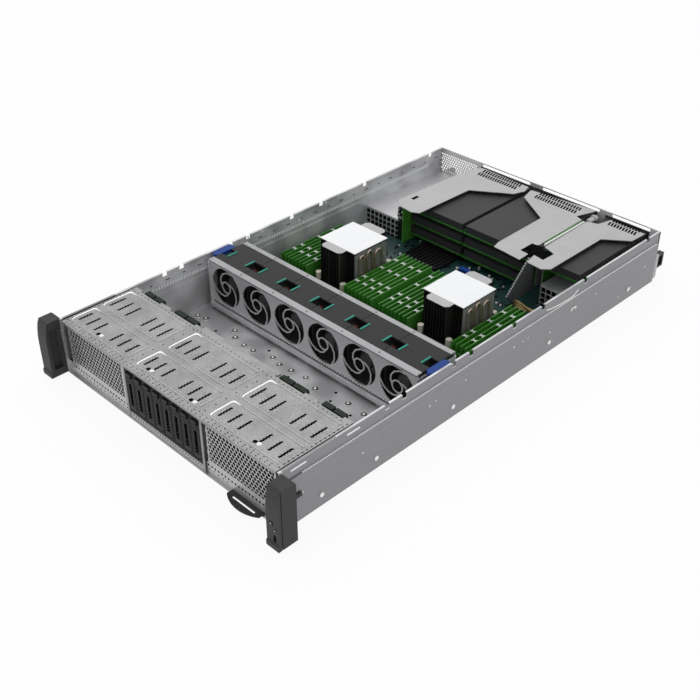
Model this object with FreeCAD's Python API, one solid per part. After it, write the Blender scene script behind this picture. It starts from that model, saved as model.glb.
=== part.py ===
import FreeCAD, Part
import math
import os

Vector = FreeCAD.Vector

# Driving sizes in millimetres. X runs across the rack, Y from the front to the rear, Z up.
chassis_width = 438.0
chassis_length = 772.0
chassis_height = 87.0
sheet = 1.2
running_gap = 0.3
tool_margin = 1.0

# Side walls of the tray
skirt_band_height = 18.0
skirt_band_inset = 1.6
rail_band_height = 16.0
rail_band_proud = 0.8
rail_band_slope = 3.0
wall_flange = 3.2
wall_notch_width = 8.0
wall_notch_depth = 7.0
wall_notches_from_front = [168.0, 198.0]
wall_notches_from_rear = [483.0, 449.0, 360.0, 297.0, 198.0, 36.0]

# Front end of the tray and the panel over the drive bay
front_setback = 4.0
lip_height = 19.0
panel_depth = 121.0
panel_drop = 1.0
panel_flange = 4.0
panel_side_gap = 6.0
pad_columns = 3
pad_side_margin = 4.4
pad_column_gap = 19.5
pad_rise = 0.9
pad_slope = 2.2
pad_corner = 5.0
pad_front_margin = 11.0
pad_front_length = 39.0
pad_row_gap = 10.0
pad_rear_margin = 13.0
slot_width = 3.0
slot_pitch = 17.5
slot_group_offset = 35.0
slot_front_inset = 6.5
slot_rear_insets = [10.5, 15.5]
panel_notch_depth = 4.0
panel_notch_margin = 2.0
mesh_inner = 83.0
mesh_side_margin = 9.2
mesh_depth = 8.0

# Drive bay and its carriers
bay_count = 8
bay_pitch = 18.75
bay_floor = 10.0
bay_apron = 6.0
tooth_width = 0.6
tooth_height = 3.0
divider_flange = 4.0
carrier_head_gap = 0.5
carrier_rear_gap = 8.3
carrier_front = 1.5
carrier_plate = 0.8
bezel_depth = 9.0
drive_thickness = 15.0
drive_setback = 1.0
grille_rows = 4
grille_bar = 4.0
lever_width = 11.0
lever_thickness = 2.6
lever_head_margin = 6.0
lever_hook = 2.2
lever_hook_height = 3.8
lever_window_drop = 16.5
lever_rim = 2.5
lever_pin_height = 6.0

# Backplane behind the drive bay
backplane_thickness = 1.6
backplane_bottom = 21.0
backplane_drop = 7.0
backplane_vent_width = 26.0
backplane_vent_pitch = 40.0
backplane_vent_sill = 8.0
backplane_vent_drop = 22.0
backplane_rail_depth = 9.0
cable_socket_depth = 8.0
cable_socket_height = 17.5
cable_socket_drop = 3.5
cable_sockets_per_span = 2
inner_socket_span = (81.0, 129.0)
outer_socket_span_from_wall = (60.2, 21.2)

# Rack ears with their buttons
ear_width = 21.0
ear_front = 25.0
ear_rear = 4.0
ear_head_drop = 1.0
ear_foot_height = 7.0
ear_foot_proud = 1.6
ear_lean_height = 34.0
ear_crown_drop = 2.0
ear_lean = 4.4
ear_chamfer = 2.0
ear_seam_depth = 1.0
ear_seam_width = 1.4
ear_bezel = 5.5
ear_recess_depth = 6.5
ear_recess_bottom = 11.0
ear_recess_drop = 13.0
ear_screw_drop = 22.0
ear_screw_radius = 3.4
ear_screw_depth = 14.0
ear_hook_thickness = 1.6
ear_hook_rear = 30.0
ear_hook_bottom = 38.0
ear_hook_top = 44.0
button_travel = 1.0
button_length = 6.0
button_proud = 0.9
power_button_radius = 3.2
power_button_offset = 8.0
power_button_height = 36.0
id_button_radius = 1.7
id_button_offset = 15.0
id_button_height = 29.0
ear_port_offset = 13.5
ear_port_height = 15.5
ear_port_half_width = 2.4
ear_port_half_length = 5.5
ear_port_depth = 10.0

# Pull-out tag under the front edge
tag_center = 155.0
tag_width = 58.0
tag_thickness = 1.6
tag_reach = 14.0
tag_nose = 9.0
tag_length = 90.0
tag_slot_length = 40.0
tag_slot_width = 3.2
tag_slot_front = 5.2
guide_wall = 1.6
guide_lip = 2.2
guide_length = 64.0

# Fan cage, fan modules and rotors
fan_count = 6
fan_pitch = 67.4
cage_front_from_rear = 532.5
cage_depth = 73.5
cage_drop = 1.0
cage_floor = 14.0
cage_front_strip = 10.5
cage_rear_strip = 8.0
cage_sheet_inset = 2.5
cage_hem = 4.0
cage_end_wall = 2.0
cage_ledge = 5.0
cage_ledge_drop = 5.0
cage_foot_width = 6.0
cage_bracket_inset = 18.0
cage_window_width = 58.0
cage_window_sill = 8.0
cage_window_drop = 10.0
fan_rim_height = 6.0
fan_rim_width = 3.7
fan_lower_rim = 5.3
guard_ring_sides = 12
guard_arm_steps = 5
guard_width = 2.0
guard_hub_radius = 10.0
guard_arm_count = 3
guard_first_angle = 60.0
guard_sweep = 118.0
guard_bow = 0.8
module_top = 3.0
module_side_gap = 0.4
housing_side_gap = 3.2
housing_corner = 18.0
duct_step = 1.2
finger_notch_reach = 13.0
finger_notch_length = 18.0
finger_notch_setback = 33.5
grip_bar_width = 2.6
grip_bar_sink = 0.5
grip_bar_rise = 1.0
rotor_blades = 5
rotor_front_gap = 4.0
rotor_hub_radius = 12.0
rotor_hub_length = 30.0
rotor_hub_chamfer = 2.5
rotor_tip_gap = 0.6
blade_thickness = 1.4
blade_root_chord = 19.0
blade_tip_chord = 30.0
blade_root_angle = 52.0
blade_tip_angle = 30.0
blade_root_sink = 1.5
blade_skew = 26.0
blade_first_angle = 12.0
stator_thickness = 6.0
strut_width = 3.0
strut_overlap = 1.5
stator_sides = 8
cage_lever_length = 36.0
cage_lever_thickness = 5.0
cage_lever_corner = 4.5

# Motherboard and what stands on it
board_lift = 7.0
board_thickness = 2.0
board_cage_gap = 9.0
board_rear_gap = 8.0
board_side_gap = 4.0
standoff_size = 6.0
standoff_front_rows = [14.0, 218.0]
standoff_front_columns = [-198.0, -66.0, 66.0, 198.0]
standoff_rear_rows = [124.0, 24.0]
standoff_rear_columns = [-112.0, 0.0, 112.0]
dimm_blocks = [-170.4, -34.2, 36.4, 173.0]
dimm_per_block = 8
dimm_pitch = 7.85
dimm_length = 133.0
dimm_center_from_board = 120.0
dimm_thickness = 1.4
dimm_visible_height = 27.0
dimm_socket_length = 142.0
dimm_socket_width = 6.4
dimm_socket_height = 6.0
dimm_latch_height = 22.0
sink_offset = 103.5
sink_center_from_board = 117.0
sink_width = 73.0
sink_length = 70.0
sink_wing_width = 41.0
sink_wing_length = 16.0
sink_fin_count = 14
sink_fin_thickness = 1.0
sink_base_width = 70.0
sink_base_length = 112.0
sink_base_thickness = 6.0
sink_base_lift = 5.0
sink_drop = 5.0
sink_plate = 1.0
nut_sides = 6
nut_radius = 5.0
nut_height = 12.0
nut_spacing_x = 52.0
nut_spacing_y = 98.0
header_length = 16.0
header_width = 10.0
header_height = 11.0
header_wall = 1.5
header_places_on_board = [(-206.0, 210.0), (-182.0, 210.0), (176.0, 234.0), (200.0, 234.0)]

# Riser brackets, their boards and the cards they hold. The outlines give x and the distance from the rear
riser_drop = 3.0
riser_wall_front_from_rear = 156.0
riser_wall_rear_gap = 48.0
riser_board_thickness = 1.8
riser_board_from_rear = 197.0
left_riser_wall = -130.0
middle_riser_wall = 109.0
right_riser_wall = 119.0
card_drop = 4.8
card_thickness = 13.0
card_level_pitch = 21.0
card_board = 1.6
card_front_from_rear = 182.0
card_bracket_margin = 2.5
left_card_reach = -17.5
middle_card_reach = -15.5
right_card_reach = 200.0
left_riser_outline = [
    (-138.0, 198.0), (-122.0, 211.0), (-96.0, 214.0), (-84.0, 207.0), (-81.0, 91.0), (-21.0, 50.0),
    (-14.0, 30.0), (-19.0, 14.0), (-118.0, 11.0), (-130.0, 29.0),
]
middle_riser_outline = [
    (65.0, 209.0), (61.0, 194.0), (60.0, 87.0), (-2.0, 48.0), (-9.5, 20.0), (108.0, 6.0), (95.0, 43.0),
    (107.0, 47.0), (109.0, 158.0), (99.0, 169.0), (98.5, 190.0), (114.0, 191.0), (115.0, 213.0),
    (83.0, 210.0),
]
right_riser_outline = [
    (127.0, 211.0), (153.0, 213.0), (163.5, 203.0), (164.0, 78.0), (200.0, 50.5), (202.0, 18.0),
    (140.5, 16.0), (134.0, 41.0), (117.0, 46.0), (119.0, 157.0), (141.0, 164.5), (140.0, 190.0),
    (122.0, 187.5),
]

# Power supplies and their bays
psu_width = 73.5
psu_height = 40.0
psu_length = 185.0
psu_proud = 13.0
psu_side_gap = 1.4
psu_bay_length = 189.0
psu_grille_slots = 5
psu_grille_bar = 3.0
psu_grille_margin = 7.0
psu_handle_reach = 15.0
psu_handle_thickness = 3.0
psu_handle_bottom = 17.0
psu_handle_top = 40.0
psu_handle_width = 9.0
psu_fan_radius = 16.0
psu_fan_offset = 27.0
psu_fan_depth = 2.0
psu_inlet_width = 27.0
psu_inlet_height = 20.0
psu_inlet_offset = 5.0
psu_inlet_depth = 13.0
psu_latch_offset = 36.0
psu_latch_width = 7.0
psu_latch_length = 13.0
psu_latch_thickness = 2.4
psu_latch_boss = 2.6

# Rear wall
rear_window_margin = 6.0

# Studs on the outside of the tray
stud_radius = 3.2
stud_reach = 1.8
stud_height = 18.0
studs_from_front = [61.0, 152.0]
studs_from_rear = [478.0, 272.0, 73.0]

# Values that follow from the driving sizes
half_width = chassis_width / 2
wall_outer = half_width
wall_low = half_width - rail_band_proud
skirt_outer = half_width - skirt_band_inset
wall_inner = wall_low - sheet
skirt_inner = skirt_outer - sheet
flange_edge = skirt_outer - wall_flange
skirt_bottom = chassis_height - skirt_band_height
band_bottom = skirt_bottom - rail_band_height
wall_notch_places = wall_notches_from_front + [chassis_length - y for y in wall_notches_from_rear]
stud_places = studs_from_front + [chassis_length - y for y in studs_from_rear]
panel_reach = skirt_outer - panel_side_gap
panel_top = chassis_height - panel_drop
panel_bottom = panel_top - sheet
pad_width = (2 * (panel_reach - pad_side_margin) - (pad_columns - 1) * pad_column_gap) / pad_columns
pad_pitch = pad_width + pad_column_gap
pad_front_rear = pad_front_margin + pad_front_length
pad_rows = [(pad_front_margin, pad_front_rear), (pad_front_rear + pad_row_gap, panel_depth - pad_rear_margin)]
mesh_outer = skirt_inner - mesh_side_margin
carrier_width = bay_pitch - tooth_width - 2 * running_gap
carrier_bottom = bay_floor + sheet + running_gap
carrier_top = panel_top - panel_flange - carrier_head_gap
carrier_half = carrier_width / 2
bay_half = bay_count * bay_pitch / 2
bay_rear = panel_depth - sheet
carrier_rear = bay_rear - carrier_rear_gap
lever_pin_y = carrier_front + lever_thickness / 2
lever_pin_z = carrier_bottom + lever_pin_height
lever_head = carrier_top - lever_head_margin
backplane_top = chassis_height - backplane_drop
cable_socket_top = chassis_height - cable_socket_drop
cable_socket_bottom = cable_socket_top - cable_socket_height
cable_socket_spans = [inner_socket_span, tuple(skirt_inner - x for x in outer_socket_span_from_wall)]
tag_bottom = sheet + running_gap
tag_top = tag_bottom + tag_thickness
tag_half = tag_width / 2
ear_height = chassis_height - ear_head_drop
ear_crown_height = ear_height - ear_crown_drop
ear_straight_height = ear_crown_height - ear_lean_height
ear_recess_top = ear_height - ear_recess_drop
ear_screw_height = ear_height - ear_screw_drop
ear_face = -ear_front + ear_foot_proud
board_rear = chassis_length - board_rear_gap
board_bottom = sheet + board_lift
board_top = board_bottom + board_thickness
cage_front = chassis_length - cage_front_from_rear
cage_rear = cage_front + cage_depth
board_front = cage_rear + board_cage_gap
cage_top = chassis_height - cage_drop
cage_half = fan_count * fan_pitch / 2
cage_sheet_front = cage_front + cage_sheet_inset
cage_floor_top = cage_floor + sheet
cage_end_top = cage_top - cage_lever_thickness - running_gap
cage_lever_pin_y = cage_rear - cage_bracket_inset - cage_lever_thickness
cage_lever_pin_z = cage_top - cage_lever_thickness / 2
fan_opening_radius = min((cage_top - cage_floor) / 2 - fan_rim_height, fan_pitch / 2 - fan_rim_width)
fan_center_height = cage_floor_top + fan_opening_radius + fan_lower_rim
duct_radius = fan_opening_radius - duct_step
module_front = cage_front + cage_front_strip + module_side_gap
module_rear = cage_rear - cage_rear_strip - module_side_gap
finger_notch_center = cage_front + finger_notch_setback
rotor_front = module_front + rotor_front_gap
rotor_rear = rotor_front + rotor_hub_length
stator_front = rotor_rear + running_gap
dimm_center = board_front + dimm_center_from_board
sink_center = board_front + sink_center_from_board
sink_top = chassis_height - sink_drop
socket_top = board_top + dimm_socket_height
sink_base_bottom = board_top + sink_base_lift
sink_base_top = sink_base_bottom + sink_base_thickness
fin_top = sink_top - sink_plate
riser_top = chassis_height - riser_drop
riser_bottom = riser_top - sheet
riser_wall_front = chassis_length - riser_wall_front_from_rear
riser_wall_rear = chassis_length - riser_wall_rear_gap
riser_board_front = chassis_length - riser_board_from_rear
card_front = chassis_length - card_front_from_rear
card_top = riser_bottom - card_drop
psu_rear = chassis_length + psu_proud
psu_inner = wall_inner - psu_side_gap - psu_width
psu_front = psu_rear - psu_length
psu_bottom = sheet + running_gap
psu_top = psu_bottom + psu_height
psu_bay_front = chassis_length - psu_bay_length
psu_bay_inner = psu_inner - running_gap - sheet
psu_bay_top = psu_top + running_gap + sheet
rear_wall_front = chassis_length - sheet
front_extreme = -ear_front
rear_extreme = psu_rear + psu_handle_reach
frame_shift = Vector(0, -(front_extreme + rear_extreme) / 2, 0)


def box(x0, x1, y0, y1, z0, z1):
    return Part.makeBox(x1 - x0, y1 - y0, z1 - z0, Vector(x0, y0, z0))


def sidedBox(side, x0, x1, y0, y1, z0, z1):
    # A box given for the right half of the chassis, put on either side of the middle
    if side < 0:
        return box(-x1, -x0, y0, y1, z0, z1)
    return box(x0, x1, y0, y1, z0, z1)


def prism(points, direction):
    wire = Part.makePolygon(points + [points[0]])
    return Part.Face(wire).extrude(direction)


def prismAlongX(points, x0, x1):
    return prism([Vector(x0, y, z) for y, z in points], Vector(x1 - x0, 0, 0))


def prismAlongY(points, y0, y1):
    return prism([Vector(x, y0, z) for x, z in points], Vector(0, y1 - y0, 0))


def prismAlongZ(points, z0, z1):
    return prism([Vector(x, y, z0) for x, y in points], Vector(0, 0, z1 - z0))


def rodAlongX(radius, x0, x1, y, z):
    return Part.makeCylinder(radius, x1 - x0, Vector(x0, y, z), Vector(1, 0, 0))


def rodAlongY(radius, y0, y1, x, z):
    return Part.makeCylinder(radius, y1 - y0, Vector(x, y0, z), Vector(0, 1, 0))


def circlePoints(sides, radius, x, y):
    step = 2 * math.pi / sides
    return [(x + radius * math.cos((k + 0.5) * step), y + radius * math.sin((k + 0.5) * step))
            for k in range(sides)]


def mirrorX(shape):
    return shape.mirror(Vector(0, 0, 0), Vector(1, 0, 0))


def fuse(shapes):
    joined = shapes[0]
    if len(shapes) > 1:
        joined = shapes[0].multiFuse(shapes[1:])
    return joined.removeSplitter()


def cut(shape, tools):
    return shape.cut(Part.makeCompound(tools))


def save(name, shape):
    placed = shape.copy()
    placed.translate(frame_shift)
    placed.exportStep(os.path.join("parts", name + ".step"))


def trayProfile():
    # Half of the tray's section, from the outside bottom corner up, over the flange and back down
    return [
        (wall_low, 0),
        (wall_low, band_bottom),
        (wall_outer, band_bottom + rail_band_slope),
        (wall_outer, skirt_bottom),
        (skirt_outer, skirt_bottom),
        (skirt_outer, chassis_height),
        (flange_edge, chassis_height),
        (flange_edge, chassis_height - sheet),
        (skirt_inner, chassis_height - sheet),
        (skirt_inner, skirt_bottom - sheet),
        (wall_outer - sheet, skirt_bottom - sheet),
        (wall_outer - sheet, band_bottom + rail_band_slope),
        (wall_inner, band_bottom),
        (wall_inner, sheet),
    ]


def trayFrontLip():
    # Upstand across the front, open at the drive bay and over the pull-out tag
    y0 = front_setback
    y1 = y0 + sheet
    lip = box(-wall_inner, wall_inner, y0, y1, sheet, lip_height)
    bay_edge = bay_half + divider_flange
    bay = box(-bay_edge, bay_edge, y0 - tool_margin, y1 + tool_margin, sheet, lip_height + tool_margin)
    edge = tag_half + running_gap
    mouth = box(tag_center - edge, tag_center + edge, y0 - tool_margin, y1 + tool_margin,
                sheet, tag_top + running_gap)
    return cut(lip, [bay, mouth])


def tagGuides():
    # Two channels on the floor that hold the tag down at its edges
    edge = tag_half + running_gap
    low = tag_top + running_gap
    profile = [
        (edge, sheet),
        (edge + guide_wall, sheet),
        (edge + guide_wall, low + sheet),
        (edge - guide_lip, low + sheet),
        (edge - guide_lip, low),
        (edge, low),
    ]
    start = front_setback + 2 * sheet
    return [prismAlongY([(tag_center + side * x, z) for x, z in profile], start, start + guide_length)
            for side in (-1, 1)]


def standoffs():
    # Board supports in rows, clear of the power supply bays
    places = [(x, board_front + y) for y in standoff_front_rows for x in standoff_front_columns]
    places += [(x, board_rear - y) for y in standoff_rear_rows for x in standoff_rear_columns]
    half = standoff_size / 2
    return [box(x - half, x + half, y - half, y + half, sheet, board_bottom) for x, y in places]


def chassisTray():
    right = trayProfile()
    left = [(-x, z) for x, z in reversed(right)]
    section = prismAlongY(right + left, 0, rear_wall_front)
    tray = fuse([section, trayFrontLip()] + tagGuides() + standoffs())
    notches = []
    for y in wall_notch_places:
        for side in (-1, 1):
            notches.append(sidedBox(side, flange_edge - tool_margin, wall_outer + tool_margin,
                                    y, y + wall_notch_width,
                                    chassis_height - wall_notch_depth, chassis_height + tool_margin))
    return cut(tray, notches)


def embossedPad(center_x, y0, y1):
    # A raised pad with cut corners and a sloped rim, lofted from the plate to its flat top
    loops = []
    for inset, z in ((0.0, panel_top), (pad_slope, panel_top + pad_rise)):
        x_low = center_x - pad_width / 2 + inset
        x_high = center_x + pad_width / 2 - inset
        y_low = y0 + inset
        y_high = y1 - inset
        corner = pad_corner - inset / 2
        outline = [
            (x_low + corner, y_low), (x_high - corner, y_low), (x_high, y_low + corner),
            (x_high, y_high - corner), (x_high - corner, y_high), (x_low + corner, y_high),
            (x_low, y_high - corner), (x_low, y_low + corner),
        ]
        points = [Vector(x, y, z) for x, y in outline]
        loops.append(Part.makePolygon(points + [points[0]]))
    return Part.makeLoft(loops, True, True)


def padSlots(center_x, y0, y1, rear_inset):
    slots = []
    for group in (-1, 1):
        for step in (-1, 0, 1):
            x = center_x + group * slot_group_offset + step * slot_pitch
            slots.append(box(x - slot_width / 2, x + slot_width / 2,
                             y0 + slot_front_inset, y1 - rear_inset,
                             panel_bottom - tool_margin, panel_top + pad_rise + tool_margin))
    return slots


def frontTopPanel():
    # Plate with turned-down edges, raised pads, vent slots and notches over the cable sockets
    plate = box(-panel_reach, panel_reach, 0, panel_depth, panel_bottom, panel_top)
    front = box(-panel_reach, panel_reach, 0, sheet, panel_top - panel_flange, panel_top)
    sides = [sidedBox(side, panel_reach - sheet, panel_reach, 0, bay_rear, panel_top - panel_flange, panel_top)
             for side in (-1, 1)]
    pads = []
    tools = []
    for column in range(pad_columns):
        center_x = (column - (pad_columns - 1) / 2) * pad_pitch
        for (y0, y1), rear_inset in zip(pad_rows, slot_rear_insets):
            pads.append(embossedPad(center_x, y0, y1))
            tools += padSlots(center_x, y0, y1, rear_inset)
    for low, high in cable_socket_spans:
        for side in (-1, 1):
            tools.append(sidedBox(side, low - panel_notch_margin, high + panel_notch_margin,
                                  panel_depth - panel_notch_depth, panel_depth + tool_margin,
                                  panel_bottom - tool_margin, panel_top + tool_margin))
    return cut(fuse([plate, front] + sides + pads), tools)


def meshPanel(side):
    # One field of the front mesh, folded back at its four edges
    y0 = front_setback
    y1 = y0 + mesh_depth
    outer = sidedBox(side, mesh_inner, mesh_outer, y0, y1, lip_height, panel_bottom)
    hollow = sidedBox(side, mesh_inner + sheet, mesh_outer - sheet, y0 + sheet, y1 + tool_margin,
                      lip_height + sheet, panel_bottom - sheet)
    return outer.cut(hollow)


def driveCage():
    # Upright dividers with front flanges, a toothed shelf, and the rail that holds the backplane
    front = 2 * sheet
    board_rear_face = bay_rear + backplane_thickness
    rail_rear = board_rear_face + backplane_rail_depth
    pieces = []
    for side in (-1, 1):
        pieces.append(sidedBox(side, bay_half, bay_half + sheet, front, bay_rear, sheet, panel_bottom))
        pieces.append(sidedBox(side, bay_half, bay_half + divider_flange, front - sheet + running_gap,
                               front, sheet, panel_top - panel_flange - running_gap))
        pieces.append(sidedBox(side, bay_half, bay_half + sheet, bay_rear, rail_rear,
                               backplane_top, backplane_top + sheet))
    shelf_top = bay_floor + sheet
    pieces.append(box(-bay_half, bay_half, front, bay_rear, bay_floor, shelf_top))
    pieces.append(box(-bay_half, bay_half, front, front + sheet, bay_floor - bay_apron, bay_floor))
    pieces.append(box(-bay_half, bay_half, bay_rear - sheet, bay_rear, shelf_top,
                      shelf_top + divider_flange))
    for index in range(1, bay_count):
        x = -bay_half + index * bay_pitch
        pieces.append(box(x - tooth_width / 2, x + tooth_width / 2, front, bay_rear - sheet,
                          shelf_top, shelf_top + tooth_height))
    rail_profile = [
        (board_rear_face, backplane_top - divider_flange),
        (board_rear_face + sheet, backplane_top - divider_flange),
        (board_rear_face + sheet, backplane_top - sheet),
        (rail_rear, backplane_top - sheet),
        (rail_rear, backplane_top),
        (board_rear_face, backplane_top),
    ]
    pieces.append(prismAlongX(rail_profile, -bay_half - sheet, bay_half + sheet))
    return fuse(pieces)


def carrierCenter(index):
    return -bay_half + (index + 0.5) * bay_pitch


def driveCarrier(index):
    # Bezel with a lever pocket and a barred grille, two runners and the drive held between them
    x = carrierCenter(index)
    back = carrier_front + bezel_depth
    bezel = box(x - carrier_half, x + carrier_half, carrier_front, back, carrier_bottom, carrier_top)
    pocket_half = lever_width / 2 + running_gap
    pocket_low = lever_pin_z - lever_thickness / 2 - running_gap
    pocket_high = lever_head + running_gap
    pocket_floor = carrier_front + lever_thickness + running_gap
    pocket = box(x - pocket_half, x + pocket_half, carrier_front - tool_margin, pocket_floor,
                 pocket_low, pocket_high)
    grille_low = lever_pin_z + lever_hook_height + running_gap
    grille_pitch = (pocket_high - lever_hook_height - grille_low) / grille_rows
    tools = [pocket]
    for row in range(grille_rows):
        z = grille_low + row * grille_pitch
        tools.append(box(x - pocket_half, x + pocket_half, pocket_floor, back + tool_margin,
                         z, z + grille_pitch - grille_bar))
    runners = [
        box(x - carrier_half, x + carrier_half, back, carrier_rear, z, z + carrier_plate)
        for z in (carrier_bottom, carrier_top - carrier_plate)
    ]
    drive = box(x - drive_thickness / 2, x + drive_thickness / 2, back + drive_setback, carrier_rear,
                carrier_bottom + carrier_plate, carrier_top - carrier_plate)
    return fuse([cut(bezel, tools), drive] + runners)


def carrierLever(index):
    # A pull lever with a hooked head and a round foot about its pin
    x = carrierCenter(index)
    radius = lever_thickness / 2
    y0 = carrier_front
    y1 = carrier_front + lever_thickness
    foot = lever_pin_z - radius
    head = lever_head
    hook = y0 - lever_hook
    outline = [
        Part.Arc(Vector(0, y1, lever_pin_z), Vector(0, lever_pin_y, foot), Vector(0, y0, lever_pin_z)),
        Part.LineSegment(Vector(0, y0, lever_pin_z), Vector(0, y0, head - 2 * lever_hook_height)),
        Part.LineSegment(Vector(0, y0, head - 2 * lever_hook_height), Vector(0, hook, head - lever_hook_height)),
        Part.LineSegment(Vector(0, hook, head - lever_hook_height), Vector(0, hook, head)),
        Part.LineSegment(Vector(0, hook, head), Vector(0, y1, head)),
        Part.LineSegment(Vector(0, y1, head), Vector(0, y1, lever_pin_z)),
    ]
    face = Part.Face(Part.Wire([piece.toShape() for piece in outline]))
    bar = face.extrude(Vector(lever_width, 0, 0))
    bar.translate(Vector(x - lever_width / 2, 0, 0))
    window = box(x - lever_width / 2 + lever_rim, x + lever_width / 2 - lever_rim,
                 y0 - tool_margin, y1 + tool_margin, lever_pin_z + 3 * lever_rim, head - lever_window_drop)
    return bar.cut(window)


def backplane():
    # Board across the whole width with air openings and two groups of cable sockets each side
    y0 = bay_rear
    y1 = y0 + backplane_thickness
    board = box(-mesh_outer, mesh_outer, y0, y1, backplane_bottom, backplane_top)
    vents = []
    first = mesh_inner + backplane_vent_pitch / 2
    for side in (-1, 1):
        for step in range(3):
            low = first + step * backplane_vent_pitch - backplane_vent_width / 2
            vents.append(sidedBox(side, low, low + backplane_vent_width, y0 - tool_margin, y1 + tool_margin,
                                  backplane_bottom + backplane_vent_sill,
                                  backplane_top - backplane_vent_drop))
    sockets = []
    for low, high in cable_socket_spans:
        step = (high - low) / cable_sockets_per_span
        for side in (-1, 1):
            for slot in range(cable_sockets_per_span):
                x0 = low + slot * step + sheet
                sockets.append(sidedBox(side, x0, x0 + step - 2 * sheet, y1, y1 + cable_socket_depth,
                                        cable_socket_bottom, cable_socket_top))
    return fuse([cut(board, vents)] + sockets)


def earSideProfile():
    # The ear's side outline: a foot at the bottom front and a face that leans back in an arc
    face = ear_face
    rise = ear_crown_height - ear_straight_height
    bend_radius = (rise ** 2 + ear_lean ** 2) / (2 * ear_lean)
    half_turn = math.asin(rise / bend_radius) / 2
    bend_start = Vector(0, face, ear_straight_height)
    bend_middle = Vector(0, face + bend_radius * (1 - math.cos(half_turn)),
                         ear_straight_height + bend_radius * math.sin(half_turn))
    crown = Vector(0, face + ear_lean, ear_crown_height)
    corners = [
        crown,
        Vector(0, face + ear_lean + ear_chamfer, ear_height),
        Vector(0, ear_rear - ear_chamfer, ear_height),
        Vector(0, ear_rear, ear_height - ear_chamfer),
        Vector(0, ear_rear, 0),
        Vector(0, -ear_front, 0),
        Vector(0, -ear_front, ear_foot_height),
        Vector(0, face, ear_foot_height + ear_foot_proud),
        bend_start,
    ]
    pieces = [Part.Arc(bend_start, bend_middle, crown)]
    pieces += [Part.LineSegment(start, end) for start, end in zip(corners[:-1], corners[1:])]
    return Part.Face(Part.Wire([piece.toShape() for piece in pieces]))


def ear(side):
    # Ears are built on the right and mirrored for the left
    x0 = half_width
    x1 = half_width + ear_width
    face = earSideProfile()
    face.translate(Vector(x0, 0, 0))
    body = face.extrude(Vector(ear_width, 0, 0))
    seam_front = -ear_front + ear_bezel
    seam = box(x1 - ear_seam_depth, x1 + tool_margin, seam_front, seam_front + ear_seam_width,
               -tool_margin, ear_height + tool_margin)
    screw = rodAlongY(ear_screw_radius, ear_rear - ear_screw_depth, ear_rear + tool_margin,
                      (x0 + x1) / 2, ear_screw_height)
    tools = [seam, fingerRecess(), screw]
    if side > 0:
        tools += buttonPockets()
    hook = box(x0, x0 + ear_hook_thickness, ear_rear, ear_hook_rear, ear_hook_bottom, ear_hook_top)
    body = fuse([cut(body, tools), hook])
    return body if side > 0 else mirrorX(body)


def fingerRecess():
    # The recess on the inner face, with slanted ends, open towards the drive bay
    x0 = half_width
    front = ear_face + ear_bezel
    rear = -ear_recess_depth / 2
    outline = [
        (x0 - tool_margin, front),
        (x0, front),
        (x0 + ear_recess_depth, front + ear_recess_depth / 2),
        (x0 + ear_recess_depth, rear - ear_recess_depth / 2),
        (x0, rear),
        (x0 - tool_margin, rear),
    ]
    return prismAlongZ(outline, ear_recess_bottom, ear_recess_top)


def buttonPlaces():
    return [
        (power_button_offset, power_button_height, power_button_radius),
        (id_button_offset, id_button_height, id_button_radius),
    ]


def buttonPockets():
    front = ear_face - tool_margin
    floor = ear_face + button_length - button_proud + button_travel
    pockets = [rodAlongY(radius + running_gap, front, floor, half_width + offset, height)
               for offset, height, radius in buttonPlaces()]
    x = half_width + ear_port_offset
    pockets.append(box(x - ear_port_half_width, x + ear_port_half_width, front, ear_face + ear_port_depth,
                       ear_port_height - ear_port_half_length, ear_port_height + ear_port_half_length))
    return pockets


def button(place):
    offset, height, radius = place
    front = ear_face - button_proud
    return rodAlongY(radius, front, front + button_length, half_width + offset, height)


def pullTag():
    # A flat plate with an arched front and a finger slot
    nose = -tag_reach
    straight = nose + tag_nose
    rear = nose + tag_length
    left = tag_center - tag_half
    right = tag_center + tag_half
    outline = [
        Part.Arc(Vector(left, straight, 0), Vector(tag_center, nose, 0), Vector(right, straight, 0)),
        Part.LineSegment(Vector(right, straight, 0), Vector(right, rear, 0)),
        Part.LineSegment(Vector(right, rear, 0), Vector(left, rear, 0)),
        Part.LineSegment(Vector(left, rear, 0), Vector(left, straight, 0)),
    ]
    plate = Part.Face(Part.Wire([piece.toShape() for piece in outline])).extrude(Vector(0, 0, tag_thickness))
    slot = box(tag_center - tag_slot_length / 2, tag_center + tag_slot_length / 2,
               -tag_slot_front, -tag_slot_front + tag_slot_width, -tool_margin, tag_thickness + tool_margin)
    plate = plate.cut(slot)
    plate.translate(Vector(0, 0, tag_bottom))
    return plate


def fanCenter(index):
    return (index - (fan_count - 1) / 2) * fan_pitch


def guardPoint(x, radius, degrees, y):
    turn = math.radians(degrees)
    return Vector(x + radius * math.cos(turn), y, fan_center_height + radius * math.sin(turn))


def guardArm(x, end_angle, y0, y1):
    # A stamped arm that spirals clockwise from the hub ring out to the rim of the opening
    inner = guard_hub_radius - guard_width / 2
    outer = fan_opening_radius + guard_width / 2
    spine = []
    for step in range(guard_arm_steps + 1):
        t = step / guard_arm_steps
        radius = inner + (outer - inner) * t - 4 * guard_bow * t * (1 - t)
        spine.append(guardPoint(x, radius, end_angle + guard_sweep * (1 - t), y0))
    sides = []
    for step, point in enumerate(spine):
        run = spine[min(step + 1, guard_arm_steps)] - spine[max(step - 1, 0)]
        across = run.cross(Vector(0, 1, 0)).normalize() * (guard_width / 2)
        sides.append((point - across, point + across))
    outline = [low for low, high in sides] + [high for low, high in reversed(sides)]
    return prism(outline, Vector(0, y1 - y0, 0))


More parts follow.
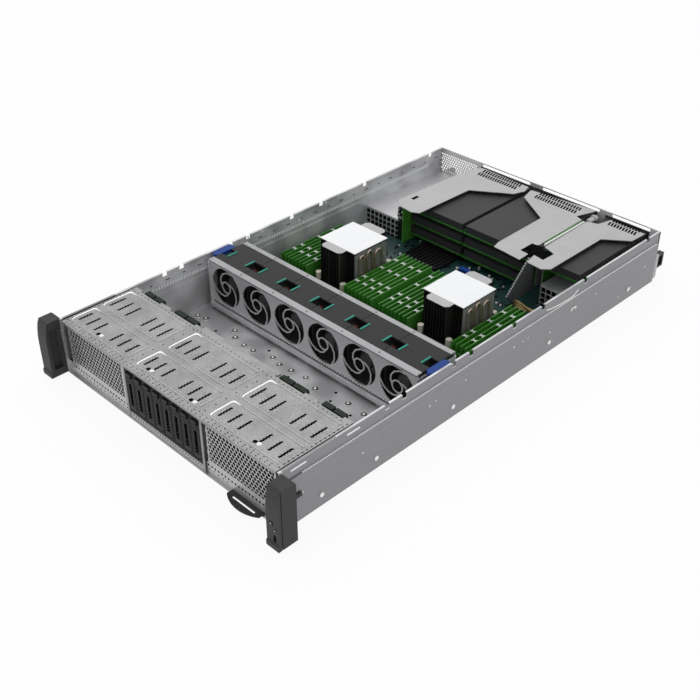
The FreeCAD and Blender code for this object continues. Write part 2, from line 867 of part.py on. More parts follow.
def fanGuard(x, y0, y1):
    # Hub ring with its spiral arms
    ring = prismAlongY(circlePoints(guard_ring_sides, guard_hub_radius, x, fan_center_height), y0, y1)
    hole = prismAlongY(circlePoints(guard_ring_sides, guard_hub_radius - guard_width, x, fan_center_height),
                       y0 - tool_margin, y1 + tool_margin)
    arms = [guardArm(x, guard_first_angle - 360.0 * k / guard_arm_count, y0, y1)
            for k in range(guard_arm_count)]
    return cut(fuse([ring] + arms), [hole])


def guardOpenings(x, y0, y1):
    # What is stamped out of the front sheet at one fan: the round opening less its guard
    opening = rodAlongY(fan_opening_radius, y0 - tool_margin, y1 + tool_margin, x, fan_center_height)
    return opening.cut(fanGuard(x, y0 - 2 * tool_margin, y1 + 2 * tool_margin))


def fanCage():
    # Spot-welded sheets, face to face: guards, strips, rear frame, floor, ledge, feet and ends
    y0 = cage_sheet_front
    y1 = y0 + sheet
    strip_bottom = cage_top - sheet
    rear_face = cage_rear - sheet
    centers = [fanCenter(index) for index in range(fan_count)]
    front = box(-cage_half, cage_half, y0, y1, cage_floor, strip_bottom)
    rear = box(-cage_half, cage_half, rear_face, cage_rear, sheet, strip_bottom)
    windows = [box(x - cage_window_width / 2, x + cage_window_width / 2, rear_face - tool_margin,
                   cage_rear + tool_margin, cage_floor + cage_window_sill, cage_top - cage_window_drop)
               for x in centers]
    front_strip_profile = [
        (cage_front, cage_top), (cage_front, cage_top - cage_hem), (cage_front + sheet, cage_top - cage_hem),
        (cage_front + sheet, strip_bottom), (cage_front + cage_front_strip, strip_bottom),
        (cage_front + cage_front_strip, cage_top),
    ]
    ledge_profile = [
        (y0, cage_floor), (y0, cage_floor_top), (y0 - cage_ledge, cage_floor_top),
        (y0 - cage_ledge, cage_floor - cage_ledge_drop), (y0 - cage_ledge + sheet, cage_floor - cage_ledge_drop),
        (y0 - cage_ledge + sheet, cage_floor),
    ]
    pieces = [
        cut(front, [guardOpenings(x, y0, y1) for x in centers]),
        cut(rear, windows),
        prismAlongX(front_strip_profile, -cage_half, cage_half),
        box(-cage_half, cage_half, cage_rear - cage_rear_strip, cage_rear, strip_bottom, cage_top),
        box(-cage_half, cage_half, y1, rear_face, cage_floor, cage_floor_top),
        prismAlongX(ledge_profile, -cage_half, cage_half),
    ]
    for index in range(fan_count - 1):
        seam = (centers[index] + centers[index + 1]) / 2
        pieces.append(box(seam - cage_foot_width / 2, seam + cage_foot_width / 2, y1, rear_face,
                          sheet, cage_floor))
    for side in (-1, 1):
        pieces += cageEnd(side)
    return Part.makeCompound(pieces)


def cageEnd(side):
    # End wall, and the bracket to the tray wall with the saddle under the lever's knuckle
    outer = cage_half + cage_end_wall
    bracket_front = cage_rear - cage_bracket_inset
    reach = wall_inner - running_gap
    bracket_top = skirt_bottom - 2 * sheet
    saddle_top = cage_lever_pin_z - cage_lever_thickness / 2 - running_gap
    bracket = sidedBox(side, outer, reach, bracket_front, bracket_front + sheet, sheet, bracket_top)
    saddle = sidedBox(side, outer, flange_edge - running_gap, bracket_front - cage_lever_thickness,
                      bracket_front + sheet, bracket_top - cage_lever_thickness, saddle_top)
    return [
        sidedBox(side, cage_half, outer, cage_front, cage_rear, sheet, cage_end_top),
        fuse([bracket, saddle]),
    ]


def fanModule(index):
    # Plastic carrier: a duct with cut upper corners and a round bore, under a plate with finger notches
    x = fanCenter(index)
    half = fan_pitch / 2 - housing_side_gap
    z0 = cage_floor_top + running_gap
    z1 = cage_top - module_top
    outline = [
        (x - half, z0), (x + half, z0), (x + half, z1 - housing_corner), (x + half - housing_corner, z1),
        (x - half + housing_corner, z1), (x - half, z1 - housing_corner),
    ]
    duct = prismAlongY(outline, module_front, module_rear)
    bore = rodAlongY(duct_radius, module_front - tool_margin, module_rear + tool_margin,
                     x, fan_center_height)
    plate_half = fan_pitch / 2 - module_side_gap
    plate = box(x - plate_half, x + plate_half, module_front, module_rear, z1, cage_top)
    notches = []
    grips = []
    notch_front = finger_notch_center - finger_notch_length / 2
    notch_rear = finger_notch_center + finger_notch_length / 2
    edge = fan_pitch / 2 - finger_notch_reach
    for side in (-1, 1):
        x0, x1 = sorted((x + side * edge, x + side * fan_pitch / 2))
        notches.append(box(x0, x1, notch_front, notch_rear, z1 - tool_margin, cage_top + tool_margin))
        x0, x1 = sorted((x + side * edge, x + side * (edge - grip_bar_width)))
        grips.append(box(x0, x1, notch_front, notch_rear, cage_top - grip_bar_sink,
                         cage_top + grip_bar_rise))
    return Part.makeCompound([fuse([cut(duct, [bore])] + fanStator(x)), fuse([cut(plate, notches)] + grips)])


def fanStator(x):
    # Eight-sided motor plate on four struts, close behind the rotor's hub
    rear = stator_front + stator_thickness
    corners = circlePoints(stator_sides, rotor_hub_radius, x, fan_center_height)
    pieces = [prismAlongY(corners, stator_front, rear)]
    for quarter in range(4):
        strut = box(x - strut_width / 2, x + strut_width / 2, stator_front, rear,
                    fan_center_height + rotor_hub_radius - strut_overlap,
                    fan_center_height + duct_radius + strut_overlap)
        strut.rotate(Vector(x, 0, fan_center_height), Vector(0, 1, 0), 45 + 90 * quarter)
        pieces.append(strut)
    return pieces


def bladeSection(x, radius, middle, chord, pitch, turn):
    # A thin quadrilateral across the blade at one radius
    half_arc = math.degrees(chord * math.cos(math.radians(pitch)) / 2 / radius)
    half_rise = chord * math.sin(math.radians(pitch)) / 2
    corners = []
    for along, across in ((-1, -0.5), (1, -0.5), (1, 0.5), (-1, 0.5)):
        angle = math.radians(turn + along * half_arc)
        corners.append(Vector(x + radius * math.cos(angle),
                              middle + along * half_rise + across * blade_thickness,
                              fan_center_height + radius * math.sin(angle)))
    return Part.makePolygon(corners + [corners[0]])


def fanRotor(index):
    # A chamfered hub with twisted, swept blades, lofted from root to tip
    x = fanCenter(index)
    tip = duct_radius - rotor_tip_gap
    root = rotor_hub_radius - blade_root_sink
    middle = (rotor_front + rotor_rear) / 2
    chamfer = rotor_hub_chamfer
    hub = rodAlongY(rotor_hub_radius, rotor_front, rotor_rear, x, fan_center_height)
    rim = [edge for edge in hub.Edges if edge.BoundBox.YMax < rotor_front + tool_margin]
    hub = hub.makeChamfer(chamfer, rim)
    blades = []
    for number in range(rotor_blades):
        turn = blade_first_angle + 360.0 * number / rotor_blades
        sections = [
            bladeSection(x, root, middle, blade_root_chord, blade_root_angle, turn),
            bladeSection(x, tip, middle, blade_tip_chord, blade_tip_angle, turn + blade_skew),
        ]
        blades.append(Part.makeLoft(sections, True, True))
    return fuse([hub] + blades)


def cageLever(side):
    # A thumb lever beside the cage that turns up about the round knuckle at its rear end
    radius = cage_lever_thickness / 2
    x0 = cage_half
    x1 = flange_edge - running_gap
    low = cage_lever_pin_z - radius
    high = cage_lever_pin_z + radius
    front = cage_lever_pin_y - cage_lever_length
    pin_y = cage_lever_pin_y
    outline = [
        Part.LineSegment(Vector(x0, pin_y, low), Vector(x0, front, low)),
        Part.LineSegment(Vector(x0, front, low), Vector(x0, front, high - radius / 2)),
        Part.LineSegment(Vector(x0, front, high - radius / 2), Vector(x0, front + radius, high)),
        Part.LineSegment(Vector(x0, front + radius, high), Vector(x0, pin_y, high)),
        Part.Arc(Vector(x0, pin_y, high), Vector(x0, pin_y + radius, cage_lever_pin_z),
                 Vector(x0, pin_y, low)),
    ]
    face = Part.Face(Part.Wire([piece.toShape() for piece in outline]))
    lever = face.extrude(Vector(x1 - x0, 0, 0))
    corners = [edge for edge in lever.Edges
               if edge.BoundBox.ZLength > radius and edge.BoundBox.YMax < front + tool_margin]
    lever = lever.makeChamfer(cage_lever_corner, corners)
    return lever if side > 0 else mirrorX(lever)


def motherboard():
    half = wall_inner - board_side_gap
    inner = psu_bay_inner - board_side_gap
    bay = psu_bay_front - board_side_gap
    outline = [
        (-half, board_front), (half, board_front), (half, bay), (inner, bay), (inner, board_rear),
        (-inner, board_rear), (-inner, bay), (-half, bay),
    ]
    return prismAlongZ(outline, board_bottom, board_top)


def dimmPlaces():
    middle = (dimm_per_block - 1) / 2
    return [center + (step - middle) * dimm_pitch for center in dimm_blocks for step in range(dimm_per_block)]


def dimmSocket(x):
    # Long socket with a latch tower at each end
    half = dimm_socket_length / 2
    module_half = dimm_length / 2 + running_gap
    tower = board_top + dimm_latch_height
    profile = [
        (dimm_center - half, board_top), (dimm_center + half, board_top),
        (dimm_center + half, tower), (dimm_center + module_half, tower),
        (dimm_center + module_half, socket_top), (dimm_center - module_half, socket_top),
        (dimm_center - module_half, tower), (dimm_center - half, tower),
    ]
    return prismAlongX(profile, x - dimm_socket_width / 2, x + dimm_socket_width / 2)


def processorSockets():
    half_x = sink_base_width / 2
    half_y = sink_base_length / 2
    return [box(x - half_x, x + half_x, sink_center - half_y, sink_center + half_y, board_top, sink_base_bottom)
            for x in (-sink_offset, sink_offset)]


def boardHeaders():
    # Open cable headers on the free part of the board
    headers = []
    for x, from_front in header_places_on_board:
        x0 = x - header_length / 2
        y0 = board_front + from_front - header_width / 2
        block = box(x0, x0 + header_length, y0, y0 + header_width, board_top, board_top + header_height)
        hollow = box(x0 + header_wall, x0 + header_length - header_wall, y0 + header_wall,
                     y0 + header_width - header_wall, board_top + 2 * header_wall,
                     board_top + header_height + tool_margin)
        headers.append(block.cut(hollow))
    return headers


def boardSockets():
    return Part.makeCompound([dimmSocket(x) for x in dimmPlaces()] + processorSockets() + boardHeaders())


def memoryModules():
    half = dimm_length / 2
    return Part.makeCompound([
        box(x - dimm_thickness / 2, x + dimm_thickness / 2, dimm_center - half, dimm_center + half,
            socket_top, socket_top + dimm_visible_height) for x in dimmPlaces()])


def heatsink(side):
    # Base and a stack of upright fins whose middle group reaches further out over the base
    x = side * sink_offset
    pieces = [box(x - sink_base_width / 2, x + sink_base_width / 2, sink_center - sink_base_length / 2,
                  sink_center + sink_base_length / 2, sink_base_bottom, sink_base_top)]
    pitch = (sink_base_width - sink_fin_thickness) / (sink_fin_count - 1)
    for index in range(sink_fin_count):
        fin_x = x - sink_base_width / 2 + index * pitch
        reach = sink_length / 2
        if abs(fin_x + sink_fin_thickness / 2 - x) < sink_wing_width / 2:
            reach += sink_wing_length
        pieces.append(box(fin_x, fin_x + sink_fin_thickness, sink_center - reach, sink_center + reach,
                          sink_base_top, fin_top))
    return fuse(pieces)


def heatsinkPlates():
    half = sink_width / 2
    return Part.makeCompound([
        box(side * sink_offset - half, side * sink_offset + half, sink_center - sink_length / 2,
            sink_center + sink_length / 2, fin_top, sink_top) for side in (-1, 1)])


def heatsinkNuts():
    # Load nuts at the four corners of each heatsink
    nuts = []
    for side in (-1, 1):
        for corner_x in (-1, 1):
            for corner_y in (-1, 1):
                corners = circlePoints(nut_sides, nut_radius,
                                       side * sink_offset + corner_x * nut_spacing_x / 2,
                                       sink_center + corner_y * nut_spacing_y / 2)
                nuts.append(prismAlongZ(corners, sink_base_top, sink_base_top + nut_height))
    return Part.makeCompound(nuts)


def riserBracket(outline, wall):
    # A flat top plate of the given outline over one upright wall
    points = [(x, chassis_length - from_rear) for x, from_rear in outline]
    plate = prismAlongZ(points, riser_bottom, riser_top)
    return fuse([plate, box(wall, wall + sheet, riser_wall_front, riser_wall_rear, board_top, riser_top)])


def riserBoardSpans():
    # The thickness range of each upright riser board, left to right
    return [
        (left_riser_wall + sheet, left_riser_wall + sheet + riser_board_thickness),
        (middle_riser_wall - sheet - riser_board_thickness, middle_riser_wall - sheet),
        (right_riser_wall + sheet, right_riser_wall + sheet + riser_board_thickness),
    ]


def riserBoards():
    left, middle, right = riserBoardSpans()
    fronts = (riser_board_front, riser_wall_front, riser_wall_front)
    return Part.makeCompound([
        box(low, high, front, riser_wall_rear, board_top, riser_bottom)
        for (low, high), front in zip((left, middle, right), fronts)])


def cardSpans():
    # Each card's range across the chassis and the number of cards stacked in its riser
    left, middle, right = riserBoardSpans()
    return [
        (left[1], left_card_reach, 3),
        (middle_card_reach, middle[0], 3),
        (right[1], right_card_reach, 1),
    ]


def addInCards():
    # Flat cards with their shrouds and rear brackets
    cards = []
    for x0, x1, levels in cardSpans():
        for level in range(levels):
            z1 = card_top - level * card_level_pitch
            z0 = z1 - card_thickness
            board = box(x0, x1, card_front, rear_wall_front, z0, z0 + card_board)
            shroud = box(x0 + card_bracket_margin, x1 - card_bracket_margin, card_front + card_bracket_margin,
                         rear_wall_front - sheet, z0 + card_board, z1)
            bracket = box(x0, x1, rear_wall_front - sheet, rear_wall_front,
                          z0 - card_bracket_margin, z1 + card_bracket_margin)
            cards.append(fuse([board, shroud, bracket]))
    return Part.makeCompound(cards)


def psuBay():
    # Folded sheet over one supply, with upright grille slots in its front face
    shell = box(psu_bay_inner, wall_inner, psu_bay_front, rear_wall_front, sheet, psu_bay_top)
    hollow = box(psu_bay_inner + sheet, wall_inner + tool_margin, psu_bay_front + sheet,
                 rear_wall_front + tool_margin, sheet - tool_margin, psu_bay_top - sheet)
    low = psu_bay_inner + psu_grille_margin
    pitch = (wall_inner - psu_grille_margin + psu_grille_bar - low) / psu_grille_slots
    slots = [box(low + k * pitch, low + (k + 1) * pitch - psu_grille_bar, psu_bay_front - tool_margin,
                 psu_bay_front + sheet + tool_margin, psu_grille_margin, psu_bay_top - psu_grille_margin)
             for k in range(psu_grille_slots)]
    return cut(shell, [hollow] + slots)


def psuBays():
    bay = psuBay()
    return Part.makeCompound([bay, mirrorX(bay)])


def psu(side):
    # Long supply with a fan recess, a mains inlet and a bow handle at its rear
    x0 = psu_inner
    x1 = psu_inner + psu_width
    center_z = (psu_bottom + psu_top) / 2
    body = box(x0, x1, psu_front, psu_rear, psu_bottom, psu_top)
    fan_x = x1 - psu_fan_offset
    recess = rodAlongY(psu_fan_radius, psu_rear - psu_fan_depth, psu_rear + tool_margin, fan_x, center_z)
    inlet_low = x0 + psu_inlet_offset
    inlet = box(inlet_low, inlet_low + psu_inlet_width, psu_rear - psu_inlet_depth, psu_rear + tool_margin,
                center_z - psu_inlet_height / 2, center_z + psu_inlet_height / 2)
    reach = psu_rear + psu_handle_reach
    thick = psu_handle_thickness
    handle_profile = [
        (psu_rear, psu_handle_bottom), (reach, psu_handle_bottom), (reach, psu_handle_top),
        (psu_rear, psu_handle_top), (psu_rear, psu_handle_top - thick),
        (reach - thick, psu_handle_top - thick), (reach - thick, psu_handle_bottom + thick),
        (psu_rear, psu_handle_bottom + thick),
    ]
    handle = prismAlongX(handle_profile, x1 - psu_handle_width, x1)
    unit = fuse([cut(body, [recess, inlet]), handle])
    return unit if side > 0 else mirrorX(unit)


def psuLatch(side):
    # A flat release tab with a round knuckle against the supply's rear face
    radius = psu_latch_boss
    knuckle_y = psu_rear + running_gap + radius
    x0 = psu_inner + psu_latch_offset - psu_latch_width / 2
    z0 = psu_bottom + psu_latch_thickness
    outline = [
        Part.Arc(Vector(x0, knuckle_y, z0 + radius), Vector(x0, knuckle_y - radius, z0),
                 Vector(x0, knuckle_y, z0 - radius)),
        Part.LineSegment(Vector(x0, knuckle_y, z0 - radius),
                         Vector(x0, psu_rear + psu_latch_length, z0 - radius)),
        Part.LineSegment(Vector(x0, psu_rear + psu_latch_length, z0 - radius),
                         Vector(x0, psu_rear + psu_latch_length, z0 - radius + psu_latch_thickness)),
        Part.LineSegment(Vector(x0, psu_rear + psu_latch_length, z0 - radius + psu_latch_thickness),
                         Vector(x0, knuckle_y + radius, z0 - radius + psu_latch_thickness)),
        Part.LineSegment(Vector(x0, knuckle_y + radius, z0 - radius + psu_latch_thickness),
                         Vector(x0, knuckle_y, z0 + radius)),
    ]
    latch = Part.Face(Part.Wire([piece.toShape() for piece in outline])).extrude(Vector(psu_latch_width, 0, 0))
    return latch if side > 0 else mirrorX(latch)


def rearPanel():
    # Rear wall over the tray's end, with openings for the supplies and the card brackets
    y0 = rear_wall_front
    wall = box(-wall_low, wall_low, y0, chassis_length, 0, chassis_height)
    tools = [sidedBox(side, psu_inner - running_gap, psu_inner + psu_width + running_gap,
                      y0 - tool_margin, chassis_length + tool_margin,
                      psu_bottom - running_gap, psu_top + running_gap) for side in (-1, 1)]
    for x0, x1, levels in cardSpans():
        bottom = card_top - (levels - 1) * card_level_pitch - card_thickness
        tools.append(box(x0 + rear_window_margin, x1 - rear_window_margin, y0 - tool_margin,
                         chassis_length + tool_margin, bottom, card_top))
    return cut(wall, tools)


def railStuds():
    studs = []
    for y in stud_places:
        stud = rodAlongX(stud_radius, wall_low, wall_low + stud_reach, y, stud_height)
        studs += [stud, mirrorX(stud)]
    return Part.makeCompound(studs)


def main():
    os.makedirs("parts", exist_ok=True)
    save("chassis_tray", chassisTray())
    save("front_top_panel", frontTopPanel())
    save("front_mesh", Part.makeCompound([meshPanel(-1), meshPanel(1)]))
    save("drive_cage", driveCage())
    for index in range(bay_count):
        save("drive_carrier_%d" % (index + 1), driveCarrier(index))
        save("carrier_lever_%d" % (index + 1), carrierLever(index))
    save("backplane", backplane())
    save("ear_left", ear(-1))
    save("ear_right", ear(1))
    power_place, id_place = buttonPlaces()
    save("power_button", button(power_place))
    save("id_button", button(id_place))
    save("pull_tag", pullTag())
    save("fan_cage", fanCage())
    for index in range(fan_count):
        save("fan_module_%d" % (index + 1), fanModule(index))
        save("fan_rotor_%d" % (index + 1), fanRotor(index))
    save("fan_lever_left", cageLever(-1))
    save("fan_lever_right", cageLever(1))
    save("motherboard", motherboard())
    save("board_sockets", boardSockets())
    save("memory_modules", memoryModules())
    save("heatsink_left", heatsink(-1))
    save("heatsink_right", heatsink(1))
    save("heatsink_plates", heatsinkPlates())
    save("heatsink_nuts", heatsinkNuts())
    save("riser_bracket_left", riserBracket(left_riser_outline, left_riser_wall))
    save("riser_bracket_middle", riserBracket(middle_riser_outline, middle_riser_wall - sheet))
    save("riser_bracket_right", riserBracket(right_riser_outline, right_riser_wall))
    save("riser_boards", riserBoards())
    save("add_in_cards", addInCards())
    save("psu_bays", psuBays())
    save("psu_left", psu(-1))
    save("psu_right", psu(1))
    save("psu_latch_left", psuLatch(-1))
    save("psu_latch_right", psuLatch(1))
    save("rear_panel", rearPanel())
    save("rail_studs", railStuds())


main()
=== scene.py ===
import math
import random
import bmesh
import bpy
from mathutils import Euler, Matrix, Vector


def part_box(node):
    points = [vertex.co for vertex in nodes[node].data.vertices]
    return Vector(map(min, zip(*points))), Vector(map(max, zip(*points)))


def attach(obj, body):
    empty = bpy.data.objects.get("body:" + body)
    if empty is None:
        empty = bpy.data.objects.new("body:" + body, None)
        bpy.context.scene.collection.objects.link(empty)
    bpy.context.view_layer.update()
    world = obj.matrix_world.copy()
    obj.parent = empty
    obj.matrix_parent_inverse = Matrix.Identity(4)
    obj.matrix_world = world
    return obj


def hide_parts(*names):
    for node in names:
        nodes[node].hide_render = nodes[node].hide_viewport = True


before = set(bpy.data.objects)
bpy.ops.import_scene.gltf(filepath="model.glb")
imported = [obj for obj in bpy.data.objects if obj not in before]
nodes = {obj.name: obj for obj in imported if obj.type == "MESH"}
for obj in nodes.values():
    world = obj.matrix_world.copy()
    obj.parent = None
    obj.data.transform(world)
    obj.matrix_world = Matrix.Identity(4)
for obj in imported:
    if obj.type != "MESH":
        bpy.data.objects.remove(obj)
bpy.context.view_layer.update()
print("frame loaded:", len(nodes), "nodes")

mm = 0.001
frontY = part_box("chassis_tray")[0].y  # the tray's front end: lengths below are millimetres behind it


# shader maths as plain expressions: a Signal is a socket that can be added, scaled and compared
class Signal:
    def __init__(self, shade, socket):
        self.shade = shade
        self.socket = socket

    def __add__(self, other): return self.shade.maths("ADD", self, other)
    def __radd__(self, other): return self.shade.maths("ADD", other, self)
    def __sub__(self, other): return self.shade.maths("SUBTRACT", self, other)
    def __rsub__(self, other): return self.shade.maths("SUBTRACT", other, self)
    def __mul__(self, other): return self.shade.maths("MULTIPLY", self, other)
    def __rmul__(self, other): return self.shade.maths("MULTIPLY", other, self)
    def __gt__(self, other): return self.shade.maths("GREATER_THAN", self, other)
    def __lt__(self, other): return self.shade.maths("LESS_THAN", self, other)


def wire(tree, made, settings, sockets):
    # settings first, then values or links of the sockets
    for key, value in settings.items():
        if key == "stops":
            ramp = made.color_ramp
            while len(ramp.elements) < len(value):
                ramp.elements.new(0.5)
            for element, (place, tone) in zip(ramp.elements, value):
                element.position = place
                element.color = (*tone, 1)
        else:
            setattr(made, key, value)
    for key, value in sockets.items():
        if hasattr(value, "socket"):
            tree.links.new(value.socket, made.inputs[key])
        else:
            made.inputs[key].default_value = value


class Shade:
    def __init__(self, name):
        self.material = bpy.data.materials.new(name)
        self.material.use_nodes = True
        self.tree = self.material.node_tree
        self.surface = self.tree.nodes["Principled BSDF"]

    def node(self, kind, settings, sockets, output=0):
        made = self.tree.nodes.new(kind)
        wire(self.tree, made, settings, sockets)
        return Signal(self, made.outputs[output])

    def maths(self, operation, a, b=0.0):
        return self.node("ShaderNodeMath", {"operation": operation}, {0: a, 1: b})

    def clamp(self, value):
        return self.node("ShaderNodeClamp", {}, {"Value": value})

    def mix(self, factor, a, b):
        # a colour mix keeps its inputs on the sixth and seventh sockets
        return self.node("ShaderNodeMix", {"data_type": "RGBA"}, {0: factor, 6: a, 7: b}, 2)

    def coords(self, stretch=(1, 1, 1)):
        place = self.node("ShaderNodeTexCoord", {}, {}, "Object")
        return self.node("ShaderNodeMapping", {}, {"Vector": place, "Scale": stretch})

    def axis(self, name):
        place = self.node("ShaderNodeTexCoord", {}, {}, "Object")
        return self.node("ShaderNodeSeparateXYZ", {}, {0: place}, name)

    def band(self, name, low, high):
        # 1 between two places along an axis, given in millimetres
        place = self.axis(name)
        return (place > low * mm) * (place < high * mm)

    def noise(self, scale, detail=2.0, stretch=(1, 1, 1)):
        return self.node("ShaderNodeTexNoise", {},
                         {"Vector": self.coords(stretch), "Scale": scale, "Detail": detail}, 0)

    def bump(self, height, strength, distance):
        return self.node("ShaderNodeBump", {}, {"Height": height, "Strength": strength, "Distance": distance})

    def feed(self, **values):
        names = {"colour": "Base Color", "metallic": "Metallic", "roughness": "Roughness", "normal": "Normal",
                 "alpha": "Alpha", "coat": "Coat Weight", "specular": "Specular IOR Level"}
        for key, value in values.items():
            socket = self.surface.inputs[names[key]]
            if isinstance(value, Signal):
                self.tree.links.new(value.socket, socket)
            else:
                socket.default_value = value
        return self.material


def tint(tone, factor=1.0):
    return tuple(min(1.0, c * factor) for c in tone) + (1.0,)


def sheetMetal(name, tone, spangle=0.07, rough=0.42, metallic=0.7, grain=1.4, inner=None, lipTone=(0.5, 0.5, 0.5),
               cap=None):
    # galvanised sheet: cloudy spangle under a fine grain
    shade = Shade(name)
    cloud = shade.noise(42.0, 3.0)
    speck = shade.noise(950.0, 1.0)
    level = shade.clamp(0.5 + (cloud - 0.5) * 1.3 + (speck - 0.5) * grain)
    colour = shade.mix(level, tint(tone, 1 - spangle), tint(tone, 1 + spangle))
    if inner:
        # painted light: the sheet inside the walls is painted lighter and less metallic than their outside, with dark
        # blotches of painted reflection, and the tray's front lip is painted lighter
        paintedLitInside = shade.mix(level, tint(inner, 1 - spangle), tint(inner, 1 + spangle))
        paintedReflection = shade.clamp((shade.noise(22.0, 1.0) - 0.4) * 5.0)
        paintedLitInside = shade.mix(paintedReflection, tint(inner, 0.66), paintedLitInside)
        low = shade.band("X", -217.9, 217.9) * shade.band("Z", -1, 69.5)
        inside = shade.clamp(low + shade.band("X", -217.1, 217.1)) * shade.band("Y", -300, 384)
        lip = shade.mix(level, tint(lipTone, 1 - spangle), tint(lipTone, 1 + spangle))
        colour = shade.mix(inside, shade.mix(shade.band("Y", -390, -383.2), colour, lip), paintedLitInside)
        metallic = metallic - inside * 0.35
    if cap:
        # painted shade: strips along the cage's top edges are painted darker than its front
        colour = shade.mix(shade.axis("Z") > 83.5 * mm, colour, shade.mix(level, tint(cap, 0.85), tint(cap, 1.15)))
    return shade.feed(colour=colour, metallic=metallic, roughness=rough + (cloud - 0.5) * 0.18,
                      normal=shade.bump(speck, 0.1, 0.0002))


def plastic(name, tone, rough=0.5, grain=0.12, texture=0.15, specular=0.3):
    # moulded plastic with a fine spark-eroded grain
    shade = Shade(name)
    speck = shade.noise(1400.0, 1.0)
    cloud = shade.noise(25.0, 2.0)
    level = shade.clamp(0.5 + (cloud - 0.5) * 0.8 + (speck - 0.5) * 0.8)
    colour = shade.mix(level, tint(tone, 1 - grain), tint(tone, 1 + grain))
    return shade.feed(colour=colour, roughness=rough + (speck - 0.5) * 0.14, specular=specular,
                      normal=shade.bump(speck, texture, 0.0002))


def solderMask(name, tone, trace, scale=150.0, gloss=0.4):
    # board lacquer with faint copper runs and pads under it
    shade = Shade(name)
    runs = shade.node("ShaderNodeTexBrick", {"offset": 0.37},
                      {"Vector": shade.coords(), "Scale": scale, "Mortar Size": 0.035,
                       "Color1": (0, 0, 0, 1), "Color2": (0.3, 0.3, 0.3, 1), "Mortar": (1, 1, 1, 1)}, 0)
    level = shade.node("ShaderNodeRGBToBW", {}, {0: runs})
    cloud = shade.noise(60.0, 3.0)
    colour = shade.mix(shade.clamp(cloud * 0.5 + level * 0.4), tint(tone), tint(trace))
    return shade.feed(colour=colour, roughness=0.34 + cloud * 0.15, coat=gloss / 2, specular=gloss)


def lacquer(name, tone, rough=0.35):
    shade = Shade(name)
    cloud = shade.noise(30.0, 2.0)
    colour = shade.mix(cloud, tint(tone, 0.95), tint(tone, 1.04))
    return shade.feed(colour=colour, roughness=rough + cloud * 0.08)


def finStack(name):
    # dark plated fin ends with painted highlight: lighter streaks along their height
    shade = Shade(name)
    highlightStreaks = shade.noise(34.0, 2.0, (1, 1.4, 0.1))
    level = shade.clamp((highlightStreaks - 0.52) * 3.0)
    colour = shade.mix(level, (0.04, 0.037, 0.035, 1), (0.17, 0.155, 0.14, 1))
    return shade.feed(colour=colour, metallic=0.6, roughness=0.34 + highlightStreaks * 0.15, specular=0.25,
                      normal=shade.bump(highlightStreaks, 0.4, 0.001))


def modulePlastic(name):
    # charcoal carrier whose grip bars, the highest part of it, are teal
    shade = Shade(name)
    speck = shade.noise(1200.0, 1.0)
    grip = shade.axis("Z") > 86.04 * mm
    base = shade.mix(speck, tint((0.017, 0.016, 0.0165)), tint((0.028, 0.026, 0.027)))
    colour = shade.mix(grip, base, (0.035, 0.27, 0.21, 1))
    return shade.feed(colour=colour, roughness=0.5 + (speck - 0.5) * 0.12, specular=0.2,
                      normal=shade.bump(speck, 0.15, 0.0002))


cardStack = {"top": 78.0, "pitch": 21.0, "thickness": 13.0, "board": 1.6, "levels": 3}


def supplyMetal(name):
    # plain steel case with black plastic behind its rear face
    shade = Shade(name)
    cloud = shade.noise(42.0, 3.0)
    behind = shade.axis("Y") > 398.0 * mm
    steel = shade.mix(cloud, tint((0.4, 0.4, 0.4)), tint((0.5, 0.5, 0.51)))
    return shade.feed(colour=shade.mix(behind, steel, (0.012, 0.012, 0.013, 1)), metallic=0.7 * (1 - behind),
                      roughness=0.42 + cloud * 0.1)


def cardMetal(name):
    # dark shrouds over green boards, told apart by height
    shade = Shade(name)
    cloud = shade.noise(45.0, 2.0)
    green = 0.0
    for level in range(cardStack["levels"]):
        bottom = cardStack["top"] - level * cardStack["pitch"] - cardStack["thickness"]
        green = green + shade.band("Z", bottom - 0.05, bottom + cardStack["board"] + 0.05)
    dark = shade.mix(cloud, tint((0.024, 0.024, 0.025)), tint((0.031, 0.031, 0.032)))
    colour = shade.mix(green, dark, (0.024, 0.115, 0.017, 1))
    return shade.feed(colour=colour, roughness=0.45 + cloud * 0.1, specular=0.3)


